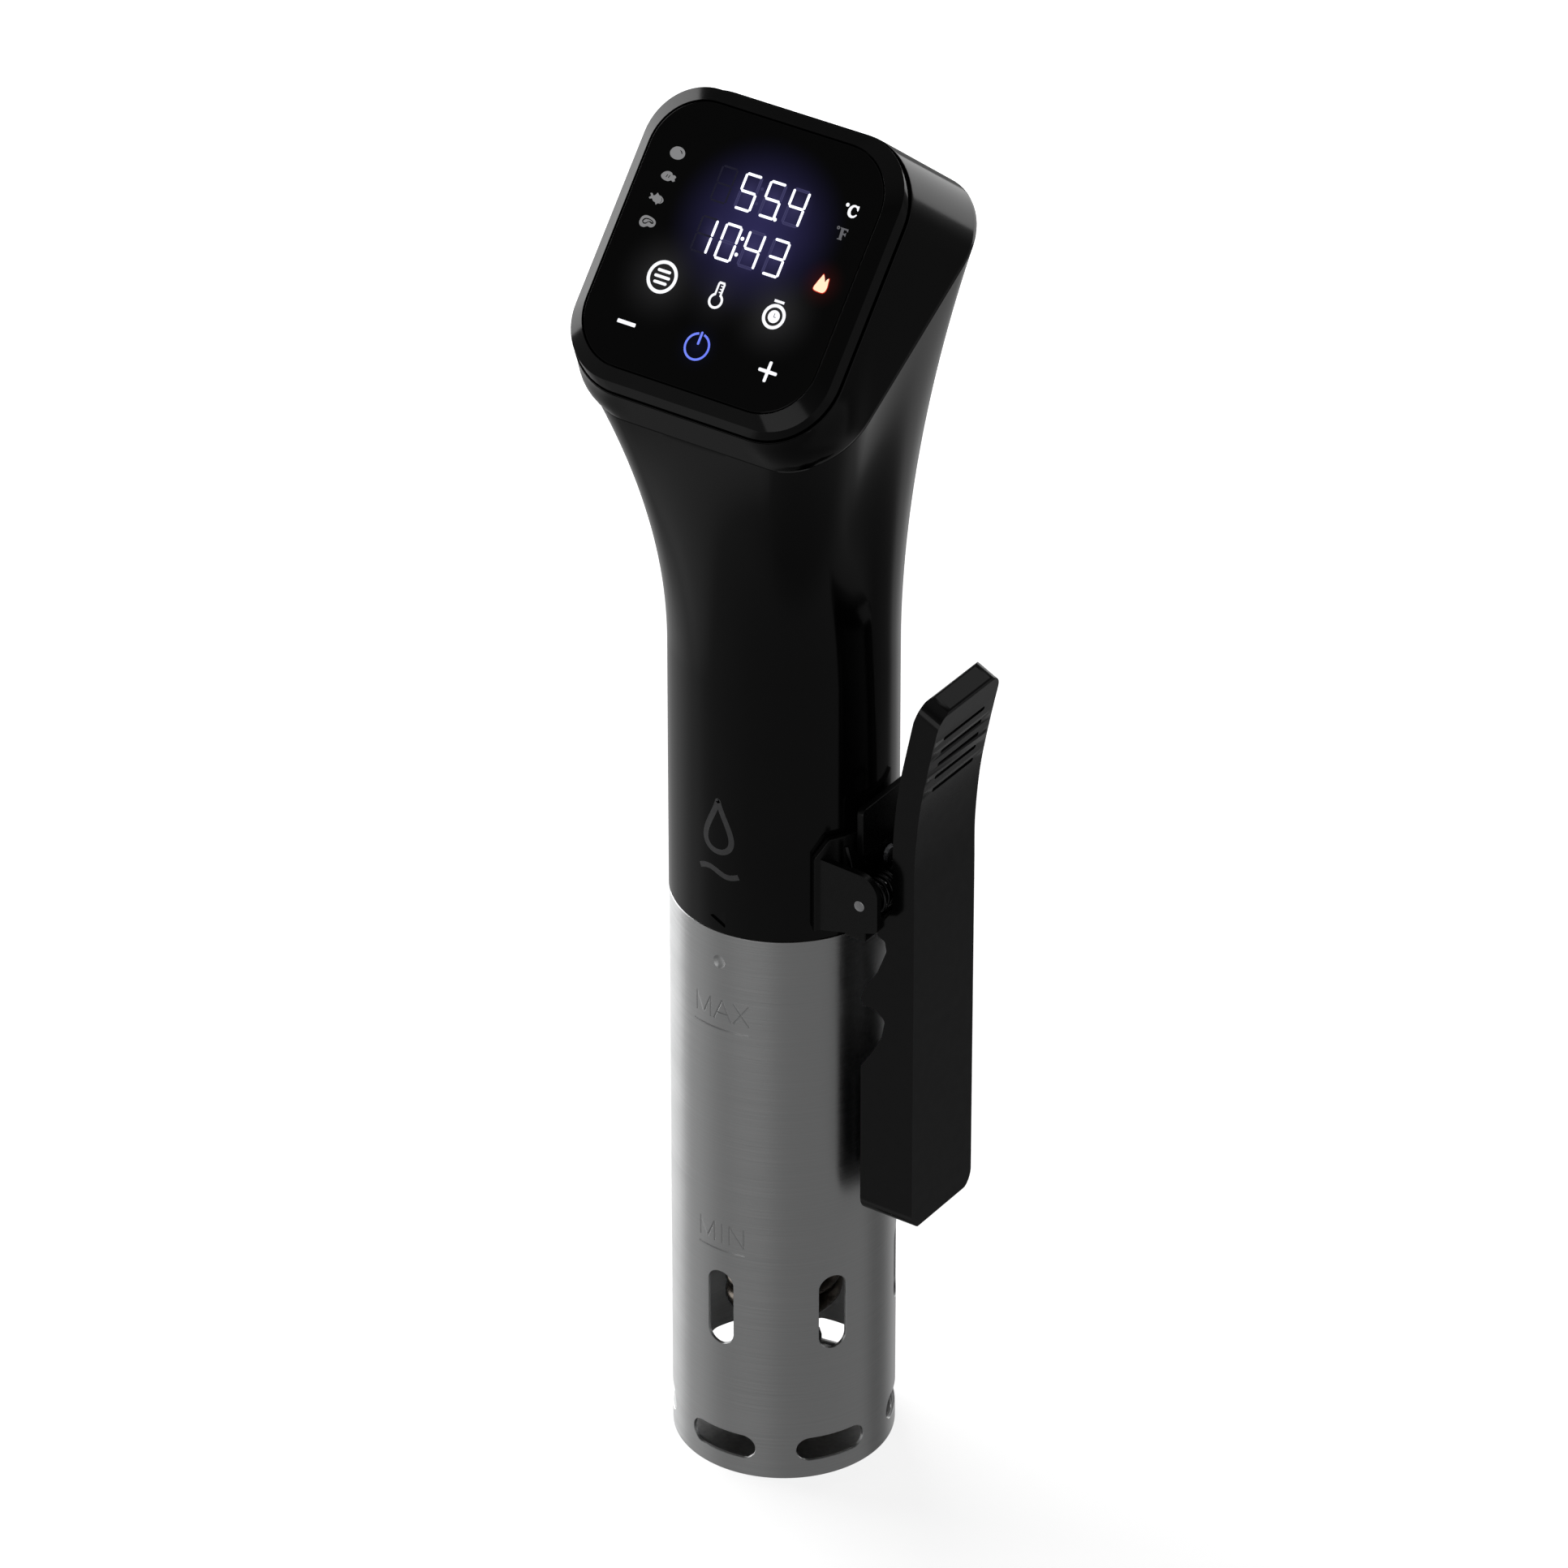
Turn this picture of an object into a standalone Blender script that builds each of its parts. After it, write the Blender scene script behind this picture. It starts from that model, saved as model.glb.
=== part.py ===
"""Sous vide circulator: a clip-on immersion circulator, as separate named pieces.

Frame: +Z up, the origin at the centre of the flat base, the display towards -Y, the pot clamp at +X.
All sizes below are millimetres and degrees. The mesh helpers turn them into metres.
"""

import math

import bmesh
import bpy

MM = 0.001

# Driving dimensions ---------------------------------------------------------------------------------
GAP = 0.3  # clearance kept between neighbouring pieces
RUN = 0.06  # radial clearance of a running fit

# The steel tube, its slots as (width, lowest, highest), and the bayonet lock in its top.
SKIRT_R = 28.0
SKIRT_WALL = 0.8
SKIRT_TOP = 158.9
SLOT_COUNT = 6
SLOT_TALL = (7.4, 38.0, 59.5)
SLOT_FLAT = (18.6, 5.0, 11.8)
CAP_RIM, CAP_WALL, CAP_FLOOR = 4.4, 1.2, 1.4
COLLAR_IN, COLLAR_LOW, COLLAR_TOP = 25.55, 147.0, 158.6
LOCK_TAB_IN, LOCK_TAB_OUT = 23.8, 26.0
LOCK_TAB_LOW, LOCK_TAB_TOP = 150.5, 153.1
TAB_ANGLES = (31, 151, 271)
TAB_HALF = 10.0
TWIST = 20.0

# The handle: a round body that flares into the head.
BODY_R = 28.14
BODY_BOTTOM = 159.2
BODY_WALL = 2.3
FLARE_START = 228.6
FLARE_POWER = 1.88
SHELL_SIDES = 40
CORNER_STEPS = 4

# The head is a rounded square prism along the display's normal, cut at its foot by a sloping plane.
TILT = math.radians(40.8)
DISPLAY_Y, DISPLAY_Z = -21.37, 342.1
GLASS_HALF = (32.3, 33.2)
GLASS_CORNER = 13.4
GLASS_DEPTHS = (0.15, 1.95)
GLASS_SLACK = 0.35
CHAMFER_HALF = (36.0, 36.8)
CHAMFER_CORNER = 14.9
CHAMFER_DEPTH = 2.2
HEAD_HALF = (37.5, 38.4)
HEAD_LOWER = 0.8  # how far the shell's rim sits below the display's centre
HEAD_CORNER = 18.5
HEAD_DEPTH = 5.3
NECK_HALF = (37.8, 37.1)
NECK_CORNER = 17.2
NECK_SLOPE = 0.598
NECK_HEIGHT = 321.2  # of the sloping plane, on the axis
BAND_SWELL = 1.9  # of the band between flare and rim, at its two front corners

# The display's board and what sits on it, as depths behind the glass.
LEDGE_HALF, LEDGE_CORNER = (30.0, 31.0), 11.0
LEDGE_DEPTHS = (2.9, 4.7)
SPIGOT_DEPTH = 8.8
SPIGOT_PLAY, SPIGOT_WALL = 0.8, 1.3
GASKET_DEPTHS = (2.2, 2.6)
BOARD_SCREWS = [(side * 31.0, up) for side in (-1, 1) for up in (-14, 14)]
BOARD_SCREW_R = 0.9
BOARD_DEPTH = 6.3
BOARD_THICK = 1.6
BOARD_HALF, BOARD_CORNER = (32.8, 31.6), 13.5

# The power board's front face, and the cord gland in the back wall.
BOARD_FACE = 7.7
GLAND_Z = 262.0
GLAND_HOLE_R, GLAND_NECK_R, GLAND_BORE_R, GLAND_FLANGE_R = 6.6, 6.3, 3.6, 8.0
GLAND_IN = 21.0
GLAND_FLANGE = 3.5

# The pot clamp.
PIN_X, PIN_Z = 34.8, 174.0
PIN_R = 1.5
EAR_IN, EAR_OUT = 17.2, 19.0
EAR_LOW, EAR_TOP = 163.0, 183.4
SADDLE_IN, SADDLE_OUT = 28.5, 30.2
SADDLE_TOP = 188.3
SADDLE_HALF = 42.0  # degrees either side of +X
SADDLE_SHOULDER = 34.5
TAB_WIDE, TAB_TALL, TAB_TOP = 11.5, 6.6, 195.4
BRACKET_SCREW_Z = (168.0, 178.0)
BRACKET_SCREW_R = 1.3
LEVER_HALF = 13.2
LEVER_WALL = 2.0
LEVER_FACE = 46.8
LEVER_LOW, LEVER_HIGH = 80.4, 233.5
BARREL_HALF, BARREL_REACH = 5.2, 3.7
PAD_X = (28.4, 32.4)
PAD_Z = (87.0, 116.0)
PAD_RIBS = 6
SPRING_R = 3.85
WIRE_R = 0.6

# The motor and what it turns.
SHAFT_R = 2.0
MOTOR_SHAFT_R = 1.6
MOTOR_R = 15.0
MOTOR_BOTTOM = 185.3
MOTOR_TOP = 218.0
BEARING_R, BEARING_TALL = 5.0, 3.0
SHAFT_JOINT = 176.0
PLATE_ANGLES = (30, 150, 270)
PLATE_LEG_R = 19.0
IMPELLER_LOW = 15.0
IMPELLER_R = 9.5

# The bulkhead between the dry handle and the wet skirt.
BULKHEAD_TOP = 165.0
BULKHEAD_R = 25.5
BOSS_TOP = BULKHEAD_TOP - 0.2
SEAL_GROOVE = (161.0, 163.8)
SPIGOT_R = 25.0
SPIGOT_LOW = 148.0
FLOOR = (156.0, 160.0)

# The heater: a coil, with two legs up through the bulkhead at these angles on the coil's radius.
COIL_R = 10.95
COIL_TUBE_R = 2.3
COIL_PITCH = 5.2
COIL_TURNS = 7
COIL_BOTTOM = 38.5
LEG_TURNS = (215.0, 325.0)
LEG_TOP = 171.0
LEG_BEND = 4.0
RETURN_R = 5.6  # of the leg that comes down inside the coil

# The probes: angle and lowest point of each, on one radius.
PROBE_R = 1.5
PROBE_REACH = 17.0
PROBES = {"temperature_probe": (90, 60), "level_probe_1": (65, 66), "level_probe_2": (115, 133)}

MATERIALS = {
    "black_gloss": ((0.012, 0.012, 0.013), 0.12, 0.0),
    "black_satin": ((0.02, 0.02, 0.021), 0.38, 0.0),
    "black_glass": ((0.006, 0.006, 0.008), 0.04, 0.0),
    "brushed_steel": ((0.42, 0.43, 0.43), 0.32, 1.0),
    "dark_steel": ((0.24, 0.23, 0.22), 0.35, 1.0),
    "spring_steel": ((0.55, 0.55, 0.54), 0.3, 1.0),
    "zinc": ((0.5, 0.51, 0.53), 0.4, 1.0),
    "aluminium": ((0.72, 0.73, 0.74), 0.4, 1.0),
    "copper": ((0.6, 0.32, 0.18), 0.4, 1.0),
    "rubber": ((0.03, 0.03, 0.03), 0.75, 0.0),
    "board_green": ((0.03, 0.16, 0.07), 0.5, 0.0),
    "grey_plastic": ((0.2, 0.2, 0.21), 0.5, 0.0),
    "white_plastic": ((0.7, 0.7, 0.68), 0.45, 0.0),
    "ferrite": ((0.06, 0.055, 0.05), 0.6, 0.0),
}


# Mesh helpers ---------------------------------------------------------------------------------------
def material(name):
    """The named Principled material, made on first use."""
    if name in bpy.data.materials:
        return bpy.data.materials[name]
    colour, roughness, metallic = MATERIALS[name]
    made = bpy.data.materials.new(name)
    made.use_nodes = True
    shader = made.node_tree.nodes["Principled BSDF"]
    shader.inputs["Base Color"].default_value = (*colour, 1.0)
    shader.inputs["Roughness"].default_value = roughness
    shader.inputs["Metallic"].default_value = metallic
    made.diffuse_color = (*colour, 1.0)
    return made


def solid(name, points, faces, finish, origin=(0, 0, 0)):
    """An object from points in millimetres, with its origin at the given point."""
    mesh = bpy.data.meshes.new(name)
    bm = bmesh.new()
    verts = [bm.verts.new([(p - o) * MM for p, o in zip(point, origin)]) for point in points]
    for face in faces:
        bm.faces.new([verts[i] for i in face])
    bmesh.ops.recalc_face_normals(bm, faces=bm.faces)
    bm.to_mesh(mesh)
    bm.free()
    mesh.shade_smooth()
    mesh.set_sharp_from_angle(angle=math.radians(30))
    made = bpy.data.objects.new(name, mesh)
    made.location = [o * MM for o in origin]
    made.data.materials.append(material(finish))
    bpy.context.scene.collection.objects.link(made)
    return made


def lofted(name, rings, finish, closed=False, origin=(0, 0, 0)):
    """A skin through rings of equally many points: closed end to start, or capped at both ends."""
    size = len(rings[0])
    points = [point for ring in rings for point in ring]
    faces = []
    for row in range(len(rings) if closed else len(rings) - 1):
        a = row * size
        b = (row + 1) % len(rings) * size
        for i in range(size):
            j = (i + 1) % size
            faces.append((a + i, a + j, b + j, b + i))
    if not closed:
        faces.append(list(range(size)))
        faces.append([(len(rings) - 1) * size + i for i in range(size)])
    return solid(name, points, faces, finish, origin)


def circle(radius, z, sides, centre=(0, 0), start=0.0):
    step = 2 * math.pi / sides
    return [
        (centre[0] + radius * math.cos(start + i * step), centre[1] + radius * math.sin(start + i * step), z)
        for i in range(sides)
    ]


def around(radius, degrees):
    """The point at an angle on a circle round the axis."""
    angle = math.radians(degrees)
    return (radius * math.cos(angle), radius * math.sin(angle))


def turned(name, profile, finish, sides=18, centre=(0, 0), closed=True, origin=(0, 0, 0)):
    """A profile of (radius, height) turned about the vertical line through centre."""
    rings = [circle(radius, z, sides, centre) for radius, z in profile]
    return lofted(name, rings, finish, closed, origin)


def rod(name, radius, low, high, finish, sides=16, centre=(0, 0), origin=(0, 0, 0)):
    profile = [(radius, low), (radius, high)]
    return turned(name, profile, finish, sides, centre, closed=False, origin=origin)


def washer(name, inner, outer, low, high, finish, sides=18, centre=(0, 0), origin=(0, 0, 0)):
    profile = [(outer, high), (outer, low), (inner, low), (inner, high)]
    return turned(name, profile, finish, sides, centre, origin=origin)


def prism(name, outline, low, high, finish, place, origin=(0, 0, 0)):
    """A flat outline pushed from low to high. place(a, b, c) gives the point at height c."""
    rings = [[place(a, b, c) for a, b in outline] for c in (low, high)]
    return lofted(name, rings, finish, origin=origin)


def along_z(a, b, c):
    return (a, b, c)


def along_y(a, b, c):
    return (a, c, b)


def along_x(a, b, c):
    return (c, a, b)


def block(name, low, high, finish, origin=(0, 0, 0)):
    outline = [(low[0], low[1]), (high[0], low[1]), (high[0], high[1]), (low[0], high[1])]
    return prism(name, outline, low[2], high[2], finish, along_z, origin)


def rounded(half_a, half_b, corner, steps=5, centre=(0, 0)):
    """A rectangle with round corners, anticlockwise."""
    points = []
    for quarter, (side_a, side_b) in enumerate(((1, 1), (-1, 1), (-1, -1), (1, -1))):
        for i in range(steps + 1):
            angle = math.radians(90 * quarter + 90 * i / steps)
            a = side_a * (half_a - corner) + corner * math.cos(angle)
            b = side_b * (half_b - corner) + corner * math.sin(angle)
            points.append((centre[0] + a, centre[1] + b))
    return points


def filleted(corners, steps=3):
    """An outline through (a, b, radius) corners, each rounded with its radius."""
    points = []
    for i, (a, b, radius) in enumerate(corners):
        if radius == 0:
            points.append((a, b))
            continue
        before, after = corners[i - 1], corners[(i + 1) % len(corners)]
        back = unit((before[0] - a, before[1] - b, 0.0))
        forth = unit((after[0] - a, after[1] - b, 0.0))
        half = math.acos(dot(back, forth)) / 2
        middle = unit([p + q for p, q in zip(back, forth)])
        centre = (a + radius / math.sin(half) * middle[0], b + radius / math.sin(half) * middle[1])
        setback = radius / math.tan(half)
        first = math.atan2(b + setback * back[1] - centre[1], a + setback * back[0] - centre[0])
        last = math.atan2(b + setback * forth[1] - centre[1], a + setback * forth[0] - centre[0])
        sweep = (last - first + math.pi) % (2 * math.pi) - math.pi
        for step in range(steps + 1):
            angle = first + sweep * step / steps
            points.append((centre[0] + radius * math.cos(angle), centre[1] + radius * math.sin(angle)))
    return points


def swept(name, path, radius, sides, finish, origin=(0, 0, 0)):
    """A round bar along a path, its sections kept from twisting."""
    count = len(path)
    rings = []
    side = None
    for i, point in enumerate(path):
        before, after = path[max(i - 1, 0)], path[min(i + 1, count - 1)]
        ahead = unit([q - p for p, q in zip(before, after)])
        if side is None:
            side = (0.0, 0.0, 1.0) if abs(ahead[2]) < 0.7 else (1.0, 0.0, 0.0)
        across = dot(side, ahead)
        side = unit([s - across * t for s, t in zip(side, ahead)])
        other = cross(ahead, side)
        ring = []
        for k in range(sides):
            angle = 2 * math.pi * k / sides
            ring.append(
                tuple(
                    p + radius * (math.cos(angle) * s + math.sin(angle) * o)
                    for p, s, o in zip(point, side, other)
                )
            )
        rings.append(ring)
    return lofted(name, rings, finish, origin=origin)


def dot(a, b):
    return sum(p * q for p, q in zip(a, b))


def cross(a, b):
    return (a[1] * b[2] - a[2] * b[1], a[2] * b[0] - a[0] * b[2], a[0] * b[1] - a[1] * b[0])


def unit(a):
    length = math.sqrt(dot(a, a))
    return tuple(p / length for p in a)


def boolean(target, tool, operation):
    """Cuts or joins with a helper object, which stays in the scene as a hidden wire."""
    tool.hide_render = True
    tool.display_type = "WIRE"
    modifier = target.modifiers.new(tool.name, "BOOLEAN")
    modifier.operation = operation
    modifier.solver = "EXACT"
    modifier.object = tool
    return target


def cut(target, *tools):
    for tool in tools:
        boolean(target, tool, "DIFFERENCE")
    return target


def join(target, *tools):
    for tool in tools:
        boolean(target, tool, "UNION")
    return target


# The head's frame -----------------------------------------------------------------------------------
def head_point(across, up, depth):
    """A point given across the display, up along it, and down behind it."""
    y = DISPLAY_Y + up * math.sin(TILT) + depth * math.cos(TILT)
    z = DISPLAY_Z + up * math.cos(TILT) - depth * math.sin(TILT)
    return (across, y, z)


def square_radius(angle, half, corner):
    """Distance from the centre to the edge of a rounded rectangle, at an angle."""
    c, s = abs(math.cos(angle)), abs(math.sin(angle))
    if c > 1e-9 and half[0] / c * s <= half[1] - corner:
        return half[0] / c
    if s > 1e-9 and half[1] / s * c <= half[0] - corner:
        return half[1] / s
    middle = (half[0] - corner, half[1] - corner)
    along = c * middle[0] + s * middle[1]
    return along + math.sqrt(along**2 - middle[0] ** 2 - middle[1] ** 2 + corner**2)


def angles(sides):
    return [2 * math.pi * i / sides for i in range(sides)]


def head_ring(half, corner, depth, lower=0.0):
    """A rounded square ring parallel to the display."""
    return [head_point(across, up, depth) for across, up in rounded(*half, corner, CORNER_STEPS, (0, -lower))]


def shell_ring(half, corner, sides):
    """The same kind of ring at the shell's rim, with a point at each of the flare's angles."""
    ring = []
    for angle in angles(sides):
        radius = square_radius(angle, half, corner)
        up = radius * math.sin(angle) - HEAD_LOWER
        ring.append(head_point(radius * math.cos(angle), up, HEAD_DEPTH))
    return ring


def neck_ring(rise, inset, sides):
    """A ring of the flare: round at rise 0, and the head's sloping foot at rise 1."""
    half = (NECK_HALF[0] - inset, NECK_HALF[1] - inset)
    ring = []
    for angle in angles(sides):
        top = square_radius(angle, half, NECK_CORNER - inset)
        top_z = NECK_HEIGHT + NECK_SLOPE * top * math.sin(angle)
        low = BODY_R - inset
        radius = low + (top - low) * rise**FLARE_POWER
        z = FLARE_START + rise * (top_z - FLARE_START)
        ring.append((radius * math.cos(angle), radius * math.sin(angle), z))
    return ring


def band_ring(foot, rim, share):
    """A ring part of the way from the flare's top to the rim, swollen at the two front corners."""
    ring = []
    for (x, y, z), (rim_x, rim_y, rim_z) in zip(foot, rim):
        x += (rim_x - x) * share
        y += (rim_y - y) * share
        z += (rim_z - z) * share
        corner = abs(x) * max(0.0, -y) / (NECK_HALF[0] * NECK_HALF[1])
        weight = min(1.0, max(0.0, (corner - 0.5) / 0.36))
        swell = BAND_SWELL * 6.75 * share * (1 - share) ** 2 * weight * weight * (3 - 2 * weight)
        out = 1 + swell / math.hypot(x, y)
        ring.append((x * out, y * out, z))
    return ring


# Handle and display ---------------------------------------------------------------------------------
def handle_shell():
    flare_steps = 8
    inner_steps = 4
    inset = (HEAD_HALF[0] - BODY_WALL, HEAD_HALF[1] - BODY_WALL)
    rings = [circle(BODY_R, BODY_BOTTOM, SHELL_SIDES)]
    rings += [neck_ring(i / flare_steps, 0, SHELL_SIDES) for i in range(flare_steps + 1)]
    rim = shell_ring(HEAD_HALF, HEAD_CORNER, SHELL_SIDES)
    rings += [band_ring(rings[-1], rim, share) for share in (0.3, 0.65)]
    rings.append(rim)
    rings.append(shell_ring(inset, HEAD_CORNER - BODY_WALL, SHELL_SIDES))
    rings += [neck_ring(i / inner_steps, BODY_WALL, SHELL_SIDES) for i in range(inner_steps, -1, -1)]
    rings.append(circle(BODY_R - BODY_WALL, BODY_BOTTOM, SHELL_SIDES))
    shell = lofted("handle_shell", rings, "black_gloss", closed=True)
    hole = [(a, b) for a, b, _ in circle(GLAND_HOLE_R, 0, 16, (0, GLAND_Z))]
    cut(shell, prism("gland_hole", hole, 20, 40, "black_gloss", along_y))
    for number, z in enumerate(BRACKET_SCREW_Z):
        hole = [(a, b) for a, b, _ in circle(BRACKET_SCREW_R + GAP, 0, 8, (0, z))]
        cut(shell, prism(f"screw_hole_{number}", hole, 22, 32, "black_gloss", along_x))
    return shell


def display_bezel():
    """The chamfered ring: a pocket for the glass, a ledge under it, and a spigot inside the shell."""
    top_edge = HEAD_DEPTH - GAP
    pocket = (GLASS_HALF[0] + GLASS_SLACK, GLASS_HALF[1] + GLASS_SLACK)
    pocket_corner = GLASS_CORNER + GLASS_SLACK
    inset = BODY_WALL + SPIGOT_PLAY
    outer = (HEAD_HALF[0] - inset, HEAD_HALF[1] - inset)
    inner = (outer[0] - SPIGOT_WALL, outer[1] - SPIGOT_WALL)
    outer_corner = HEAD_CORNER - inset
    ledge_near, ledge_far = LEDGE_DEPTHS
    profile = [
        (pocket, pocket_corner, 0, 0),
        (CHAMFER_HALF, CHAMFER_CORNER, CHAMFER_DEPTH, 0),
        (HEAD_HALF, HEAD_CORNER, top_edge, HEAD_LOWER),
        (outer, outer_corner, top_edge, HEAD_LOWER),
        (outer, outer_corner, SPIGOT_DEPTH, HEAD_LOWER),
        (inner, outer_corner - SPIGOT_WALL, SPIGOT_DEPTH, HEAD_LOWER),
        (inner, outer_corner - SPIGOT_WALL, ledge_far, HEAD_LOWER),
        (LEDGE_HALF, LEDGE_CORNER, ledge_far, 0),
        (LEDGE_HALF, LEDGE_CORNER, ledge_near, 0),
        (pocket, pocket_corner, ledge_near, 0),
    ]
    rings = [head_ring(*row) for row in profile]
    bezel = lofted("display_bezel", rings, "black_gloss", closed=True)
    for number, (across, up) in enumerate(BOARD_SCREWS):
        boss = head_rod(f"boss_{number}", 2.0, 3.9, BOARD_DEPTH - GAP, "black_gloss", across, up)
        pilot_r = BOARD_SCREW_R + 0.25
        pilot = head_rod(f"pilot_{number}", pilot_r, 4.1, 7.0, "black_gloss", across, up, 8)
        join(bezel, boss)
        cut(bezel, pilot)
    return bezel


def head_prism(name, outline, near, far, finish):
    """An outline on the display's plane, pushed from one depth to another."""
    return prism(name, outline, near, far, finish, head_point)


def head_rod(name, radius, near, far, finish, across, up, sides=12):
    outline = [(a, b) for a, b, _ in circle(radius, 0, sides, (across, up))]
    return head_prism(name, outline, near, far, finish)


def display_glass():
    ring = rounded(*GLASS_HALF, GLASS_CORNER, CORNER_STEPS)
    return head_prism("display_glass", ring, *GLASS_DEPTHS, "black_glass")


def glass_gasket():
    """The seal between the glass and the bezel's ledge."""
    outer, outer_corner = (GLASS_HALF[0] - GAP, GLASS_HALF[1] - GAP), 13.0
    inner, inner_corner = (LEDGE_HALF[0] + GAP, LEDGE_HALF[1] + GAP), LEDGE_CORNER + GAP
    near, far = GASKET_DEPTHS
    rings = [
        head_ring(outer, outer_corner, near),
        head_ring(outer, outer_corner, far),
        head_ring(inner, inner_corner, far),
        head_ring(inner, inner_corner, near),
    ]
    return lofted("glass_gasket", rings, "rubber", closed=True)


def display_board():
    far = BOARD_DEPTH + BOARD_THICK
    board = head_prism("display_board", rounded(*BOARD_HALF, BOARD_CORNER, 3), BOARD_DEPTH, far, "board_green")
    for number, (across, up) in enumerate(BOARD_SCREWS):
        radius = BOARD_SCREW_R + GAP
        cut(board, head_rod(f"board_hole_{number}", radius, BOARD_DEPTH - 1, far + 1, "zinc", across, up, 8))
    return board


def board_screws():
    """Four screws, each a head under the board and a shank in the bezel's boss."""
    head_r, head_tall, tip = 1.8, 1.3, 4.5
    seat = BOARD_DEPTH + BOARD_THICK + GAP
    profile = ((BOARD_SCREW_R, tip), (BOARD_SCREW_R, seat), (head_r, seat), (head_r, seat + head_tall))
    for number, (across, up) in enumerate(BOARD_SCREWS):
        rings = []
        for radius, depth in profile:
            rings.append([head_point(a, b, depth) for a, b, _ in circle(radius, 0, 8, (across, up))])
        lofted(f"board_screw_{number + 1}", rings, "zinc")


def led_display():
    outline = rounded(18, 15.5, 1, 1, (2.5, 11))
    return head_prism("led_display", outline, 3.0, BOARD_DEPTH - GAP, "white_plastic")


def buzzer():
    far = BOARD_DEPTH + BOARD_THICK + GAP
    return head_rod("buzzer", 4.5, far, far + 4.5, "black_satin", -14, -12, 16)


# Power electronics in the neck ----------------------------------------------------------------------
def power_electronics():
    """The upright power board, and the parts that stand off its front."""
    face = BOARD_FACE
    block("power_board", (-19, face + GAP, 240), (19, face + GAP + 1.6, 296), "board_green")
    block("transformer", (-16, -8, 244), (2, face, 261), "ferrite")
    rod("capacitor", 5.0, 244, 262, "grey_plastic", 16, (11, 2.2))
    block("relay", (-16, -6, 268), (-3, face, 286), "white_plastic")
    block("triac", (3, 3.2, 268), (13, face, 283), "black_satin")
    heat_sink()


def heat_sink():
    """A plate behind the triac, with fins towards the front."""
    left, low, high = 0.0, 266, 290
    fins, pitch, thick = 4, 4.5, 1.4
    base = block("heat_sink", (left, 0.9, low), (left + 16, 2.9, high), "aluminium")
    for number in range(fins):
        x = left + 0.4 + number * pitch
        join(base, block(f"fin_{number}", (x, -8, low), (x + thick, 2, high), "aluminium"))
    return base


def upright_rings(profile, sides):
    """Rings of (radius, y) rows round the gland's own front-to-back axis."""
    return [[(a, y, b) for a, b, _ in circle(radius, 0, sides, (0, GLAND_Z))] for radius, y in profile]


def cord_gland():
    """A flanged bush in the back wall. Its bore is the way in for a power cord."""
    seat = neck_back(GLAND_Z + GLAND_FLANGE_R - 1) + 0.5
    back = seat + GLAND_FLANGE
    profile = [(GLAND_FLANGE_R, back), (GLAND_FLANGE_R, seat), (GLAND_NECK_R, seat)]
    profile += [(GLAND_NECK_R, GLAND_IN), (GLAND_BORE_R, GLAND_IN), (GLAND_BORE_R, back)]
    lofted("cord_gland", upright_rings(profile, 16), "rubber", closed=True)
    nut_r, nut_front, nut_back = 9.0, GLAND_IN + 0.6, GLAND_IN + 3.6
    nut = lofted("gland_nut", upright_rings([(nut_r, nut_back), (nut_r, nut_front)], 6), "black_satin")
    bore = [(a, b) for a, b, _ in circle(GLAND_NECK_R + GAP, 0, 16, (0, GLAND_Z))]
    cut(nut, prism("gland_nut_bore", bore, nut_front - 1, nut_back + 1, "black_satin", along_y))


def neck_back(height):
    """How far back the flare's outer face lies at a height."""
    rise = (height - FLARE_START) / (NECK_HEIGHT + NECK_SLOPE * NECK_HALF[1] - FLARE_START)
    return BODY_R + (NECK_HALF[1] - BODY_R) * rise**FLARE_POWER


# Motor ----------------------------------------------------------------------------------------------
def motor():
    """The can with its bottom bearing, the magnets in it, and the end cap with the top bearing."""
    wall, floor = 1.0, 1.5
    seat_r, seat_wall, seat_tall = 5.3, 1.3, 3.5
    bore = 3.0
    bottom, top = MOTOR_BOTTOM, MOTOR_TOP
    can = [(MOTOR_R, top), (MOTOR_R, bottom), (bore, bottom), (bore, bottom + floor)]
    can += bearing_seat(seat_r, seat_wall, bottom + floor, seat_tall)
    can += [(MOTOR_R - wall, bottom + floor), (MOTOR_R - wall, top)]
    turned("motor_can", can, "zinc")
    low = bottom + floor + GAP
    washer("lower_bearing", MOTOR_SHAFT_R + RUN, BEARING_R, low, low + BEARING_TALL, "copper", 16)
    washer("motor_magnets", 11.6, MOTOR_R - wall - GAP, 192, 214, "ferrite")
    cap_low = top + GAP
    cap_top = cap_low + 1.7
    cap = [(MOTOR_R, cap_top), (MOTOR_R, cap_low), (bore, cap_low), (bore, cap_top)]
    cap += bearing_seat(seat_r, seat_wall, cap_top, seat_tall)
    turned("motor_end_cap", cap, "grey_plastic")
    low = cap_top + GAP
    washer("upper_bearing", MOTOR_SHAFT_R + RUN, BEARING_R, low, low + BEARING_TALL, "copper", 16)


def bearing_seat(inner, wall, low, tall):
    """The rows of a profile that go up and over a ring round a bearing."""
    return [(inner, low), (inner, low + tall), (inner + wall, low + tall), (inner + wall, low)]


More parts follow.
